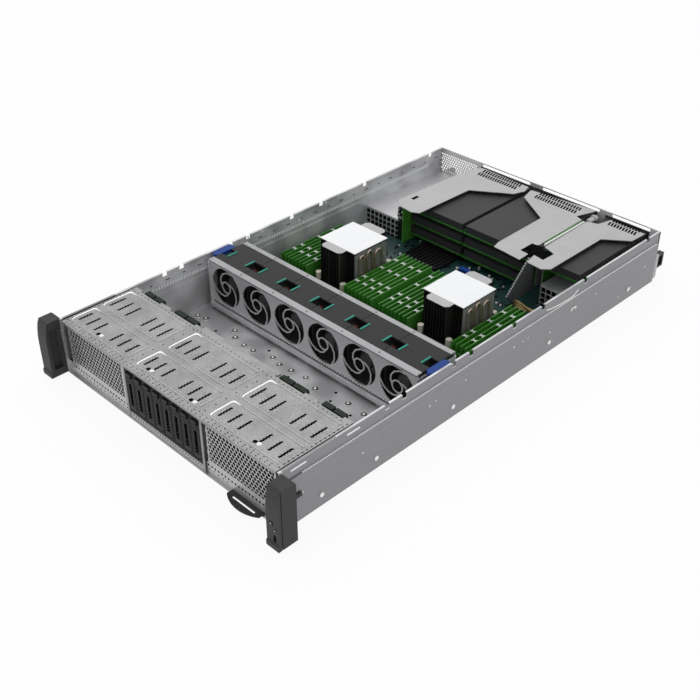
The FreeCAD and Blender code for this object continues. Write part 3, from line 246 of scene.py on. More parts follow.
finish = {
    # the tray's inner tone is painted light: lighter inside the walls
    "tray": sheetMetal("tray_steel", (0.25, 0.25, 0.26), rough=0.4, inner=(0.7, 0.7, 0.71)),
    "panel": sheetMetal("panel_steel", (0.3, 0.3, 0.3), spangle=0.3, rough=0.5, grain=2.0),
    "grille": sheetMetal("grille_steel", (0.5, 0.5, 0.5), spangle=0.1, rough=0.45),
    # the cage's cap tone is painted shade on its top strips
    "cage": sheetMetal("cage_steel", (0.66, 0.66, 0.67), rough=0.4, cap=(0.34, 0.34, 0.35)),
    "riser": sheetMetal("riser_steel", (0.44, 0.44, 0.44), rough=0.45),
    "rim": sheetMetal("rim_steel", (0.42, 0.42, 0.42), rough=0.4),
    "bright": sheetMetal("bright_steel", (0.85, 0.85, 0.84), rough=0.28),
    "fold": sheetMetal("fold_steel", (0.22, 0.22, 0.23), rough=0.5),
    "bay": plastic("bay_plastic", (0.008, 0.008, 0.009), 0.5, specular=0.15),
    "lever": plastic("lever_plastic", (0.011, 0.011, 0.012), 0.45, specular=0.2),
    "ear": plastic("ear_plastic", (0.035, 0.035, 0.037), 0.55, specular=0.25),
    "pale": plastic("pale_plastic", (0.6, 0.62, 0.6), 0.4),
    "fan": modulePlastic("fan_plastic"),
    "rotor": plastic("rotor_plastic", (0.035, 0.035, 0.036), 0.35, specular=0.4),
    "teal": plastic("teal_plastic", (0.03, 0.22, 0.17), 0.4),
    "blue": plastic("blue_plastic", (0.005, 0.045, 0.24), 0.4, specular=0.2),
    "shadow": plastic("shadow_plastic", (0.002, 0.002, 0.002), 0.8, specular=0.02),
    "black": plastic("black_plastic", (0.008, 0.008, 0.008), 0.45, specular=0.2),
    "ivory": plastic("ivory_plastic", (0.7, 0.66, 0.54), 0.4),
    "socket": plastic("socket_plastic", (0.022, 0.1, 0.014), 0.5, specular=0.2),
    "board": solderMask("board_mask", (0.008, 0.03, 0.03), (0.014, 0.06, 0.055)),
    "rearBoard": solderMask("backplane_mask", (0.006, 0.011, 0.007), (0.017, 0.03, 0.017), gloss=0.1),
    "memory": solderMask("memory_mask", (0.045, 0.2, 0.02), (0.07, 0.3, 0.04), 90.0),
    "white": lacquer("white_lacquer", (0.9, 0.9, 0.9)),
    "fins": finStack("fin_plating"),
    "cards": cardMetal("card_metal"),
    "supply": supplyMetal("supply_metal"),
    "lead": plastic("lead_plastic", (0.11, 0.02, 0.012), 0.4),
    "tan": plastic("tan_plastic", (0.3, 0.22, 0.09), 0.45),
    "copper": sheetMetal("copper_pipe", (0.42, 0.34, 0.28), rough=0.32, metallic=0.9),
}


def dress(key, *names):
    for name in names:
        materials = nodes[name].data.materials
        materials.clear()
        materials.append(finish[key])


bays = range(1, 9)
fans = range(1, 7)
sides = ("left", "right")
dress("tray", "chassis_tray", "rear_panel")
dress("panel", "front_top_panel", "front_mesh", "drive_cage")
dress("cage", "fan_cage", "psu_bays")
dress("supply", "psu_left", "psu_right")
dress("riser", *["riser_bracket_" + side for side in (*sides, "middle")])
dress("bright", "rail_studs")
dress("bay", *["drive_carrier_%d" % k for k in bays])
dress("lever", *["carrier_lever_%d" % k for k in bays])
dress("ear", "ear_left", "ear_right", "pull_tag", "power_button", "id_button")
dress("fan", *["fan_module_%d" % k for k in fans])
dress("rotor", *["fan_rotor_%d" % k for k in fans])
dress("blue", *["fan_lever_" + side for side in sides], *["psu_latch_" + side for side in sides])
dress("socket", "board_sockets")
dress("board", "motherboard")
dress("rearBoard", "backplane")
dress("memory", "memory_modules", "riser_boards")
dress("fins", "heatsink_left", "heatsink_right")
dress("white", "heatsink_plates")
dress("ivory", "heatsink_nuts")
dress("cards", "add_in_cards")
print("finishes on the solids")


# plain mesh builder in millimetres: x across, y behind the tray's front end, z up
class Shape:
    def __init__(self):
        self.points = []
        self.faces = []

    def add(self, points, faces):
        start = len(self.points)
        self.points += points
        self.faces += [[start + k for k in face] for face in faces]
        return self

    def box(self, x0, x1, y0, y1, z0, z1):
        return self.prism([(x0, y0), (x1, y0), (x1, y1), (x0, y1)], "z", z0, z1)

    def prism(self, outline, axis, low, high):
        # outline in the two other axes, in their own order
        order = {"x": lambda a, b, c: (c, a, b), "y": lambda a, b, c: (a, c, b), "z": lambda a, b, c: (a, b, c)}[axis]
        count = len(outline)
        points = [order(a, b, c) for c in (low, high) for a, b in outline]
        faces = [list(range(count)), [count + k for k in range(count)]]
        faces += [[k, (k + 1) % count, count + (k + 1) % count, count + k] for k in range(count)]
        return self.add(points, faces)

    def rod(self, axis, a, b, radius, low, high, sides=14):
        step = 2 * math.pi / sides
        outline = [(a + radius * math.cos(k * step), b + radius * math.sin(k * step)) for k in range(sides)]
        return self.prism(outline, axis, low, high)

    def mirrored(self):
        # a copy on the other side of the chassis's middle plane
        start = len(self.points)
        self.points += [(-x, y, z) for x, y, z in self.points]
        self.faces += [[start + k for k in face] for face in self.faces]
        return self

    def mesh(self, name, bevel=0.0, smooth=False, local=False):
        offset = 0.0 if local else frontY
        data = bpy.data.meshes.new(name)
        data.from_pydata([(x * mm, y * mm + offset, z * mm) for x, y, z in self.points], [], self.faces)
        work = bmesh.new()
        work.from_mesh(data)
        bmesh.ops.recalc_face_normals(work, faces=work.faces)
        if bevel:
            edges = [edge for edge in work.edges if edge.calc_face_angle(0) > 0.6]
            bmesh.ops.bevel(work, geom=edges, offset=bevel * mm, segments=1, affect="EDGES")
        work.to_mesh(data)
        work.free()
        for face in data.polygons:
            face.use_smooth = smooth
        return data


def addPiece(name, mesh, key, body="chassis", replaces=()):
    piece = bpy.data.objects.new(name, mesh)
    bpy.context.scene.collection.objects.link(piece)
    mesh.materials.clear()
    mesh.materials.append(finish[key])
    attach(piece, body)
    if replaces:
        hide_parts(*replaces)
    return piece


# geometry nodes, wired the same way as the shaders
class Growth:
    def __init__(self, name, inputs):
        self.tree = bpy.data.node_groups.new(name, "GeometryNodeTree")
        self.sockets = {}
        for label, kind in (("Geometry", "Geometry"), *inputs):
            made = self.tree.interface.new_socket(label, in_out="INPUT", socket_type="NodeSocket" + kind)
            self.sockets[label] = made.identifier
        self.tree.interface.new_socket("Geometry", in_out="OUTPUT", socket_type="NodeSocketGeometry")
        self.source = self.tree.nodes.new("NodeGroupInput")
        self.end = self.tree.nodes.new("NodeGroupOutput")

    def given(self, label):
        return Signal(self, self.source.outputs[label])

    def node(self, kind, settings, sockets, output=0):
        made = self.tree.nodes.new(kind)
        wire(self.tree, made, settings, sockets)
        return Signal(self, made.outputs[output])

    def maths(self, operation, a, b=0.0):
        return self.node("ShaderNodeMath", {"operation": operation}, {0: a, 1: b})

    def close(self, instances):
        real = self.node("GeometryNodeRealizeInstances", {}, {"Geometry": instances})
        done = self.node("GeometryNodeSetMaterial", {}, {"Geometry": real, "Material": self.given("Finish")})
        self.tree.links.new(done.socket, self.end.inputs[0])

    def grow(self, name, base, values):
        # runs the tree once on a base mesh and gives the plain mesh
        carrier = bpy.data.objects.new(name + "_carrier", base)
        bpy.context.scene.collection.objects.link(carrier)
        modifier = carrier.modifiers.new("growth", "NODES")
        modifier.node_group = self.tree
        for label, value in values.items():
            modifier[self.sockets[label]] = value
        bpy.context.view_layer.update()
        graph = bpy.context.evaluated_depsgraph_get()
        result = bpy.data.meshes.new_from_object(carrier.evaluated_get(graph))
        result.name = name
        carrier.modifiers.clear()
        bpy.data.objects.remove(carrier)
        return result


def gridGrowth():
    # rows of one tile in the XZ plane, odd rows shifted by a share of the pitch
    growth = Growth("tile_grid", (("Columns", "Int"), ("Rows", "Int"), ("PitchX", "Float"), ("PitchZ", "Float"),
                                  ("Stagger", "Float"), ("Tile", "Object"), ("Finish", "Material")))
    columns = growth.given("Columns")
    index = growth.node("GeometryNodeInputIndex", {}, {})
    column = growth.maths("FLOORED_MODULO", index, columns)
    row = growth.maths("FLOOR", growth.maths("DIVIDE", index, columns))
    odd = growth.maths("FLOORED_MODULO", row, 2.0)
    x = (column + odd * growth.given("Stagger")) * growth.given("PitchX")
    z = row * growth.given("PitchZ")
    place = growth.node("ShaderNodeCombineXYZ", {}, {"X": x, "Z": z})
    points = growth.node("GeometryNodePoints", {},
                         {"Count": columns * growth.given("Rows"), "Position": place})
    tile = growth.node("GeometryNodeObjectInfo", {}, {"Object": growth.given("Tile")}, "Geometry")
    growth.close(growth.node("GeometryNodeInstanceOnPoints", {}, {"Points": points, "Instance": tile}))
    return growth


def spotGrowth():
    # one tile on each vertex, turned and sized by the vertex's own attributes
    growth = Growth("tile_spots", (("Tile", "Object"), ("Size", "Float"), ("Finish", "Material")))
    turn = growth.node("GeometryNodeInputNamedAttribute", {"data_type": "FLOAT_VECTOR"}, {"Name": "turn"})
    rotation = growth.node("FunctionNodeEulerToRotation", {}, {"Euler": turn})
    scale = growth.node("GeometryNodeInputNamedAttribute", {"data_type": "FLOAT_VECTOR"}, {"Name": "size"})
    sized = growth.node("ShaderNodeVectorMath", {"operation": "SCALE"},
                        {0: scale, "Scale": growth.given("Size")})
    tile = growth.node("GeometryNodeObjectInfo", {}, {"Object": growth.given("Tile")}, "Geometry")
    growth.close(growth.node("GeometryNodeInstanceOnPoints", {},
                             {"Points": growth.given("Geometry"), "Instance": tile,
                              "Rotation": rotation, "Scale": sized}))
    return growth


tileGrid = gridGrowth()
tileSpots = spotGrowth()


def withTile(shape, bevel, run):
    # lends a tile to a tree as an object for one run
    tile = bpy.data.objects.new("tile", shape.mesh("tile", bevel, local=True))
    bpy.context.scene.collection.objects.link(tile)
    result = run(tile)
    bpy.data.objects.remove(tile)
    return result


def grid(name, shape, key, columns, rows, pitchX, pitchZ, corner, stagger=0.0, turn=(0, 0, 0), bevel=0.0):
    # corner is the first tile's place in millimetres, turn is in degrees about it
    base = bpy.data.meshes.new("base")
    made = withTile(shape, bevel, lambda tile: tileGrid.grow(name, base, {
        "Columns": columns, "Rows": rows, "PitchX": pitchX * mm, "PitchZ": pitchZ * mm, "Stagger": stagger,
        "Tile": tile, "Finish": finish[key]}))
    x, y, z = corner
    spin = Euler([math.radians(a) for a in turn]).to_matrix().to_4x4()
    made.transform(Matrix.Translation((x * mm, y * mm + frontY, z * mm)) @ spin)
    return made


def spots(name, shape, key, places, bevel=0.0):
    # places are (x, y, z), turn in degrees and size
    base = bpy.data.meshes.new("base")
    base.from_pydata([(x * mm, y * mm + frontY, z * mm) for (x, y, z), turn, size in places], [], [])
    turns = base.attributes.new("turn", "FLOAT_VECTOR", "POINT")
    sizes = base.attributes.new("size", "FLOAT_VECTOR", "POINT")
    for k, (place, turn, size) in enumerate(places):
        turns.data[k].vector = [math.radians(a) for a in turn]
        sizes.data[k].vector = size if isinstance(size, tuple) else (size, size, size)
    return withTile(shape, bevel, lambda tile: tileSpots.grow(name, base, {
        "Tile": tile, "Size": 1.0, "Finish": finish[key]}))


def joined(name, meshes):
    work = bmesh.new()
    for mesh in meshes:
        work.from_mesh(mesh)
    data = bpy.data.meshes.new(name)
    work.to_mesh(data)
    work.free()
    return data


def screwHead():
    # a domed head with a shallow dip in its top, axis along Z, 1 mm radius
    shape = Shape()
    rings = ((1.0, 0.0), (0.96, 0.28), (0.7, 0.5), (0.42, 0.56))
    sides = 10
    step = 2 * math.pi / sides
    points = [(r * math.cos(k * step), r * math.sin(k * step), z) for r, z in rings for k in range(sides)]
    points.append((0, 0, 0.3))
    faces = [list(range(sides))]
    for ring in range(len(rings) - 1):
        for k in range(sides):
            n = (k + 1) % sides
            faces.append([ring * sides + k, ring * sides + n, (ring + 1) * sides + n, (ring + 1) * sides + k])
    last = (len(rings) - 1) * sides
    faces += [[last + k, last + (k + 1) % sides, len(points) - 1] for k in range(sides)]
    return shape.add(points, faces)


def tube(name, key, radius, runs):
    # round bar along each run of points, in millimetres
    curve = bpy.data.curves.new(name, "CURVE")
    curve.dimensions = "3D"
    curve.bevel_depth = radius * mm
    curve.bevel_resolution = 2
    curve.use_fill_caps = True
    for run in runs:
        spline = curve.splines.new("NURBS")
        spline.points.add(len(run) - 1)
        for point, (x, y, z) in zip(spline.points, run):
            point.co = (x * mm, y * mm + frontY, z * mm, 1)
        spline.order_u = 3
        spline.use_endpoint_u = True
        spline.resolution_u = 6
    holder = bpy.data.objects.new(name, curve)
    bpy.context.scene.collection.objects.link(holder)
    bpy.context.view_layer.update()
    mesh = bpy.data.meshes.new_from_object(holder.evaluated_get(bpy.context.evaluated_depsgraph_get()))
    bpy.data.objects.remove(holder)
    mesh.name = name
    mesh.materials.clear()
    mesh.materials.append(finish[key])
    for face in mesh.polygons:
        face.use_smooth = True
    return mesh


def openedCopy(node, cutter):
    # a merged copy of a CAD solid with a mesh cut out of it
    holders = []
    for name, mesh in (("solid", nodes[node].data.copy()), ("cutter", cutter)):
        work = bmesh.new()
        work.from_mesh(mesh)
        bmesh.ops.remove_doubles(work, verts=work.verts, dist=1e-6)
        bmesh.ops.recalc_face_normals(work, faces=work.faces)
        work.to_mesh(mesh)
        work.free()
        holder = bpy.data.objects.new(name, mesh)
        bpy.context.scene.collection.objects.link(holder)
        holders.append(holder)
    solid, tool = holders
    modifier = solid.modifiers.new("open", "BOOLEAN")
    modifier.operation = "DIFFERENCE"
    modifier.solver = "EXACT"
    modifier.object = tool
    bpy.context.view_layer.update()
    opened = bpy.data.meshes.new_from_object(solid.evaluated_get(bpy.context.evaluated_depsgraph_get()))
    for holder in holders:
        bpy.data.objects.remove(holder)
    return opened


# honeycomb of the front fields, one six-sided frame per cell
mesh = {"inner": 83.0, "outer": 207.0, "low": 19.0, "high": 84.8, "front": 4.0, "pitch": 6.2, "web": 1.25, "depth": 0.8,
        "edge": 1.2, "return": 8.0}


def hexRing(pitch, web, depth):
    outer = pitch / math.sqrt(3)
    inner = (pitch - web) / math.sqrt(3)
    points = []
    for radius, y in ((outer, 0.0), (inner, 0.0), (inner, depth), (outer, depth)):
        points += [(radius * math.sin(k * math.pi / 3), y, radius * math.cos(k * math.pi / 3)) for k in range(6)]
    faces = []
    for ring in range(3):
        for k in range(6):
            n = (k + 1) % 6
            faces.append([ring * 6 + k, ring * 6 + n, ring * 6 + 6 + n, ring * 6 + 6 + k])
    return Shape().add(points, faces)


def frontFields():
    inner, outer, low, high = mesh["inner"], mesh["outer"], mesh["low"], mesh["high"]
    front, edge, rear = mesh["front"], mesh["edge"], mesh["front"] + mesh["return"]
    pitch = mesh["pitch"]
    rise = pitch * math.sqrt(3) / 2
    columns = int((outer - inner - 2 * edge) / pitch)
    rows = int((high - low - 2 * edge) / rise)
    spareX = outer - inner - (columns - 0.5) * pitch
    spareZ = high - low - (rows - 1) * rise
    for side, sign in (("left", -1), ("right", 1)):
        start = inner if sign > 0 else -outer
        cells = grid("cells", hexRing(pitch, mesh["web"], mesh["depth"]), "grille", columns, rows, pitch, rise,
                     (start + spareX / 2 + 0.25 * pitch, front, low + spareZ / 2), stagger=-0.5)
        frame4 = Shape()
        x0, x1 = sorted((sign * inner, sign * outer))
        border = (spareX - 0.5 * pitch) / 2
        for a, b in ((x0, x0 + border), (x1 - border, x1)):
            frame4.box(a, b, front, front + mesh["depth"], low, high)
        band = (spareZ - pitch / math.sqrt(3)) / 2 + 0.9
        for a, b in ((low, low + band), (high - band, high)):
            frame4.box(x0, x1, front + 0.05, front + mesh["depth"] - 0.05, a, b)
        for a, b in ((x0, x0 + edge), (x1 - edge, x1)):
            frame4.box(a, b, front + mesh["depth"], rear, low, high)
        for a, b in ((low, low + edge), (high - edge, high)):
            frame4.box(x0 + edge, x1 - edge, front + mesh["depth"], rear, a, b)
        # a dark sheet behind the cells: painted shade inside the chassis
        shadowSheet = Shape().box(x0 + edge, x1 - edge, rear - 0.6, rear - 0.2, low + edge, high - edge)
        addPiece("front_filter_" + side, shadowSheet.mesh("field_shadow"), "shadow")
        addPiece("front_field_" + side, joined("front_field", [cells, frame4.mesh("border")]), "grille",
                 replaces=("front_mesh",))


frontFields()
print("front mesh")


# front panel: a bright ridge on the left of each pad as painted highlight, lighter rims along the pad edges as painted
# highlight, dark fills in the slots as painted shadow, each screw as a white painted highlight beside a dark disc of
# painted shade, and the perforated front edge
panel = {"pads": (-144.5, 0.0, 144.5), "width": 125.0, "rows": ((11.0, 50.0), (60.0, 108.0)), "top": 86.0, "ridge": 2.0,
         "ridgeTop": 86.98, "screws": ((-148.0, 17.0), (-39.0, 16.6), (48.0, 15.0), (160.0, 18.0)), "seam": 0.7, "reach": 208.0,
         "edgePitch": 7.6, "toothPitch": 4.4}


def panelTrim():
    runs = []
    fills = []
    rims = Shape()
    r = panel["ridge"]
    z = panel["ridgeTop"] - r
    for x in panel["pads"]:
        left = x - panel["width"] / 2
        right = x + panel["width"] / 2
        for y0, y1 in panel["rows"]:
            x1 = left + 0.4
            runs.append([(x1 + 1.5, y0 + 2, z - 0.6), (x1, y0 + 4, z), (x1, (y0 + y1) / 2, z), (x1, y1 - 6, z),
                         (x1, y1 - 0.4, z), (x1 + 5, y1 - 0.4, z), (x1 + 14, y1 - 0.4, z - 0.6)])
            inset = 10.5 if y0 < 20 else 15.5
            length = y1 - inset - y0 - 6.5
            fills += [((x + group * 35.0 + step * 17.5, y0 + 6.5 + length / 2, 85.0), (0, 0, 0), (1, length, 1))
                      for group in (-1, 1) for step in (-1, 0, 1)]
            thin = panel["seam"]
            rims.rod("x", y0, panel["top"] + 0.25, thin, left + 4, right - 3, 10)
            rims.rod("x", y1, panel["top"] + 0.25, thin, left + 4, right - 3, 10)
            rims.rod("y", right, panel["top"] + 0.25, thin, y0 + 3, y1 - 3, 10)
    # the ridge in bright steel along each pad's left edge is a painted highlight
    addPiece("pad_ridges", tube("pad_ridges", "bright", r, runs), "bright")
    shadow = Shape().box(-1.48, 1.48, -0.498, 0.498, 0, 1.5)
    addPiece("pad_slot_shadows", spots("slot_shadows", shadow, "shadow", fills), "shadow")
    # thin rods of lighter steel along the pad edges: painted highlight
    addPiece("pad_rims", rims.mesh("pad_rims"), "grille")
    # a white disc right of each screw: painted highlight
    heads = spots("panel_screws", Shape().rod("z", 0, 0, 3.0, -0.2, 0.07, 14), "white",
                  [((x + 4.0, y, 86.9), (0, 0, 0), 1.0) for x, y in panel["screws"]])
    addPiece("panel_screws", heads, "white")
    # a dark disc left of each screw: painted shade of its dimple
    dimples = [((x - 2.4, y - 0.6, 86.9), (0, 0, 0), 1.15) for x, y in panel["screws"]]
    edge = int(2 * panel["reach"] / panel["edgePitch"])
    dimples += [((-panel["reach"] + (k + 0.5) * panel["edgePitch"], y, panel["top"]), (0, 0, 0), 0.36)
                for k in range(edge) for y in (2.6, 6.4 if k % 3 else 8.2, 113.0)]
    dimples += [((sign * 208.6, y, panel["top"]), (0, 0, 0), 0.42) for sign in (-1, 1) for y in range(8, 118, 7)]
    dimples += [((sign * 72.2, y, panel["top"]), (0, 0, 0), 0.4) for sign in (-1, 1) for y in range(14, 112, 16)]
    for (x, y, z), turn, (wide, length, tall) in fills:
        teeth = int(length / panel["toothPitch"])
        dimples += [((x + side * (1.9 if k % 2 else 1.6), y - length / 2 + (k + 0.5 + 0.2 * side) * panel["toothPitch"], 86.9),
                     (0, 0, 0), 0.3) for k in range(teeth) for side in (-1, 1)]
    addPiece("panel_dimples", spots("dimples", Shape().rod("z", 0, 0, 2.6, -0.1, 0.08, 10), "shadow", dimples), "shadow")


panelTrim()


# front lip: two rows of dark holes in front of the tray, and a sill below the drives
lip = {"front": 4.0, "inner": 80.0, "outer": 207.0, "rows": ((15.2, 1.7, 6.2), (9.4, 1.1, 8.4)), "sill": (-75.5, 75.5, 1.2, 10.6),
       "sillFront": 2.0}


def trimLip():
    hole = Shape().rod("y", 0, 0, 1.0, -0.08, 0.1, 8)
    places = []
    for z, radius, pitch in lip["rows"]:
        count = int((lip["outer"] - lip["inner"]) / pitch)
        places += [((sign * (lip["inner"] + (k + 0.5) * pitch), lip["front"], z), (0, 0, 0), (radius, 1.0, radius))
                   for k in range(count) for sign in (-1, 1)
                   if not (sign > 0 and lip["inner"] + k * pitch > 118 and z < 12)]
    x0, x1, z0, z1 = lip["sill"]
    places += [((x0 + 3 + 5.1 * k, lip["sillFront"], 7.6), (0, 0, 0), (1.2, 1.0, 1.2)) for k in range(29)]
    addPiece("lip_holes", spots("lip_holes", hole, "shadow", places), "shadow")
    sill = Shape().box(x0, x1, lip["sillFront"], lip["sillFront"] + 0.39, z0, z1)
    addPiece("bay_sill", sill.mesh("sill"), "rim")


trimLip()


# drive bay: pull-tab ribs on each lever, kept inside the lever's own front
bay = {"ribZ": (24.0, 29.0, 34.0, 62.0, 67.0)}


def bayTrim():
    low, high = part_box("carrier_lever_1")
    front = low.y / mm - frontY / mm
    for k in bays:
        low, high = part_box("carrier_lever_%d" % k)
        x = (low.x + high.x) / 2 / mm
        ribs = Shape()
        for z in bay["ribZ"]:
            ribs.rod("x", front + 2.2, z, 0.45, x - 4.2, x + 4.2, 8)
        piece = addPiece("lever_ribs_%d" % k, ribs.mesh("lever_ribs"), "bay", "lever_%d" % k)


bayTrim()


# small pale marks on the two buttons of the right ear
buttonMark = {"radius": 0.9, "stand": 0.05}


def trimButtons():
    for node, body in (("power_button", "power_key"), ("id_button", "id_key")):
        low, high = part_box(node)
        y = (low.y - frontY) / mm
        dot = Shape().rod("y", (low.x + high.x) / 2 / mm, (low.z + high.z) / 2 / mm, buttonMark["radius"],
                          y - buttonMark["stand"], y + 0.4, 10)
        addPiece("mark_" + body, dot.mesh("mark"), "pale", body)


trimButtons()
print("front panel and drive bay")


def blackBox(x0, x1, y0, y1, z0, z1):
    return Shape().box(x0, x1, y0, y1, z0, z1)


def centred(width, length, height):
    # a tile on the XY plane, its foot at the origin
    return Shape().box(-width / 2, width / 2, -length / 2, length / 2, 0, height)


def disc(radius, height, sides=12):
    return Shape().rod("z", 0, 0, radius, 0, height, sides)


def rounded(x0, x1, y0, y1, radius, steps=4):
    # corner by corner, counter-clockwise
    points = []
    for x, y, start in ((x1 - radius, y1 - radius, 0), (x0 + radius, y1 - radius, 90),
                        (x0 + radius, y0 + radius, 180), (x1 - radius, y0 + radius, 270)):
        for k in range(steps + 1):
            angle = math.radians(start + 90 * k / steps)
            points.append((x + radius * math.cos(angle), y + radius * math.sin(angle)))
    return points


# cable bay floor: bosses with screws, and small dark holes between them
bayFloor = {"top": 1.2, "bossRadius": 5.2, "bossHeight": 1.2, "screwRadius": 2.5,
            "screws": ((-201, 211), (-187, 215), (-132, 224), (-118, 213), (-94, 209), (-75, 210), (-43, 218),
                       (-24, 213), (-2, 215), (24, 218), (51, 210), (105, 218), (136, 216), (171, 205), (198, 221)),
            "holes": ((-152, 205), (-60, 226), (5, 203), (76, 224), (84, 206), (124, 203), (158, 226))}


def trimBayFloor():
    top, lift = bayFloor["top"], bayFloor["bossHeight"]
    bosses = spots("bosses", disc(bayFloor["bossRadius"], lift, 16), "bright",
                   [((x, y, top), (0, 0, 0), 1.0) for x, y in bayFloor["screws"]], bevel=0.35)
    heads = spots("heads", screwHead(), "bright",
                  [((x, y, top + lift), (0, 0, 30 + 17 * k), bayFloor["screwRadius"])
                   for k, (x, y) in enumerate(bayFloor["screws"])])
    addPiece("bay_floor_screws", joined("bay_floor_screws", [bosses, heads]), "bright")
    rings = spots("rings", disc(bayFloor["bossRadius"] * 0.76, 0.12, 14), "shadow",
                  [((x, y, top + lift), (0, 0, 0), 1.0) for x, y in bayFloor["screws"]])
    addPiece("bay_floor_rings", rings, "shadow")
    holes = spots("holes", disc(2.2, 0.1), "shadow", [((x, y, top), (0, 0, 0), 1.0) for x, y in bayFloor["holes"]])
    addPiece("bay_floor_holes", holes, "shadow")


trimBayFloor()
print("cable bay floor")


# heatsinks: grey wing plates, silver fins on the right face and bent heat pipes over them
sink = {"wingHalf": 20.5, "wings": ((388.0, 404.0), (474.0, 490.0)), "wingTop": 81.0, "wingPlate": 0.9, "wingCorner": 5.0,
        "finHalf": 35.0, "front": 404.0, "rear": 474.0, "low": 22.0, "high": 80.5, "finPitch": 2.6, "finStand": 0.5,
        "pipeRadius": 2.3, "pipeStand": 1.3, "pipes": ((414.0, 424.0, 74.0), (430.0, 441.0, 77.0), (447.0, 461.0, 72.0))}


def sinkCentres():
    spans = [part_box("heatsink_" + side) for side in sides]
    return [(low.x + high.x) / 2 / mm for low, high in spans]


def trimHeatsinks():
    for side, centre in zip(sides, sinkCentres()):
        half = sink["wingHalf"]
        plates = Shape()
        for (y0, y1), outward in zip(sink["wings"], (-1, 1)):
            r = sink["wingCorner"]
            near, far = (y1, y0) if outward < 0 else (y0, y1)
            outline = [(centre - half, near), (centre - half, far - outward * r), (centre - half + r, far),
                       (centre + half - r, far), (centre + half, far - outward * r), (centre + half, near)]
            plates.prism(outline, "z", sink["wingTop"], sink["wingTop"] + sink["wingPlate"])
        addPiece("heatsink_wings_" + side, plates.mesh("wings", bevel=0.2), "rim")
        face = centre + sink["finHalf"]
        slat = Shape().box(0, sink["finStand"], sink["front"] + 1, sink["rear"] - 1, -0.45, 0.45)
        rows = int((sink["high"] - sink["low"]) / sink["finPitch"])
        fins = grid("fins", slat, "cage", 1, rows, 1.0, sink["finPitch"], (face, 0, sink["low"]))
        addPiece("heatsink_edges_" + side, fins, "cage")
        stand = face + sink["pipeStand"]
        runs = [[(stand, y0, sink["low"] - 4), (stand, y0, high - 20), (stand, y0 + 1, high - 4),
                 (stand, (y0 + y1) / 2, high), (stand, y1, high - 5), (stand, y1 + 1, high - 22),
                 (stand, y1 + 1, high - 34)] for y0, y1, high in sink["pipes"]]
        addPiece("heat_pipes_" + side, tube("heat_pipes", "copper", sink["pipeRadius"], runs), "copper")


trimHeatsinks()


# memory: pale four-armed clips on every second module, one row of modules after another
clips = {"columns": ((-194.0, -178.3, -162.6, -146.9), (-57.8, -42.1, -26.4, -10.7), (13.0, 28.7, 44.4, 60.1),
                     (149.5, 165.2, 180.9, 196.6)),
         "rows": (400.0, 416.0, 453.0, 484.0), "top": 43.2, "arm": 8.0, "width": 1.5, "height": 0.35}


def clipCross():
    arm, width, height = clips["arm"], clips["width"], clips["height"]
    shape = Shape()
    for turn in (35, -35):
        a = math.radians(turn)
        across = (math.cos(a), math.sin(a))
        corners = [(u * arm / 2 * across[0] - v * width / 2 * across[1], u * arm / 2 * across[1] + v * width / 2 * across[0])
                   for u, v in ((-1, -1), (1, -1), (1, 1), (-1, 1))]
        shape.prism(corners, "z", -0.1, height)
    return shape


def trimMemory():
    places = [((x, y, clips["top"]), (0, 0, 0), 1.0)
              for group in clips["columns"] for x in group for y in clips["rows"]]
    addPiece("memory_clips", spots("memory_clips", clipCross(), "white", places), "white")


trimMemory()
print("heatsinks and memory")


# riser tops: slanted vents, cut-outs, a spring plunger and the bright edge of the board between two brackets
riser = {"top": 84.0, "vents": ((-110.0, -28.0, 735.0), (8.0, 88.0, 734.0), (143.0, 194.0, 739.0)), "ventRows": 2,
         "ventPitch": 5.0, "ventRow": 12.8, "ventWidth": 3.0, "ventLength": 11.0, "ventTurn": 14.0,
         "cutouts": ((109.0, 119.0, 584.0, 612.0), (99.0, 108.0, 596.0, 611.0), (120.0, 139.0, 588.0, 606.0),
                     (-127.0, -121.0, 592.0, 606.0)),
         "plunger": (115.0, 744.0)}


def trimRisers():
    top = riser["top"]
    places = []
    for x0, x1, y in riser["vents"]:
        count = int((x1 - x0) / riser["ventPitch"])
        for row in range(riser["ventRows"]):
            places += [((x0 + (k + 0.5) * riser["ventPitch"], y + row * riser["ventRow"] + riser["ventLength"] / 2, top),
                        (0, 0, riser["ventTurn"]), 1.0) for k in range(count)]
    tile = centred(riser["ventWidth"], riser["ventLength"], 0.08)
    addPiece("riser_vents", spots("riser_vents", tile, "shadow", places), "shadow")
    x, y = riser["plunger"]
    knob = Shape().rod("y", x, 79.0, 5.0, y - 12, y + 10, 20).rod("y", x, 79.0, 6.5, y + 2, y + 6, 20)
    knob.rod("y", x, 79.0, 2.2, y - 17, y - 12, 12)
    addPiece("riser_plunger", knob.mesh("plunger", bevel=0.5), "rim")
    boardLow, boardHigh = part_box("riser_boards")
    edge = Shape().box(110.4, 112.0, 625.0, 722.0, 80.0, 83.9)
    addPiece("riser_edge_green", edge.mesh("edge"), "memory")
    pale = Shape().box(112.2, 114.6, 622.0, 724.0, 80.0, 83.6)
    addPiece("riser_edge_pale", pale.mesh("edge", bevel=0.3), "white")
    dark = Shape()
    for x0, x1, y0, y1 in riser["cutouts"]:
        dark.box(x0, x1, y0, y1, top - 0.6, top + 0.06)
    addPiece("riser_cutouts", dark.mesh("cutouts"), "shadow")


trimRisers()


# slanted plate in front of the right riser with a dotted edge
brace = {"x": 117.0, "thickness": 1.2, "outline": ((532.0, 34.0), (578.0, 79.0), (592.0, 76.0), (598.0, 17.0), (543.0, 20.0)),
         "dots": 16}


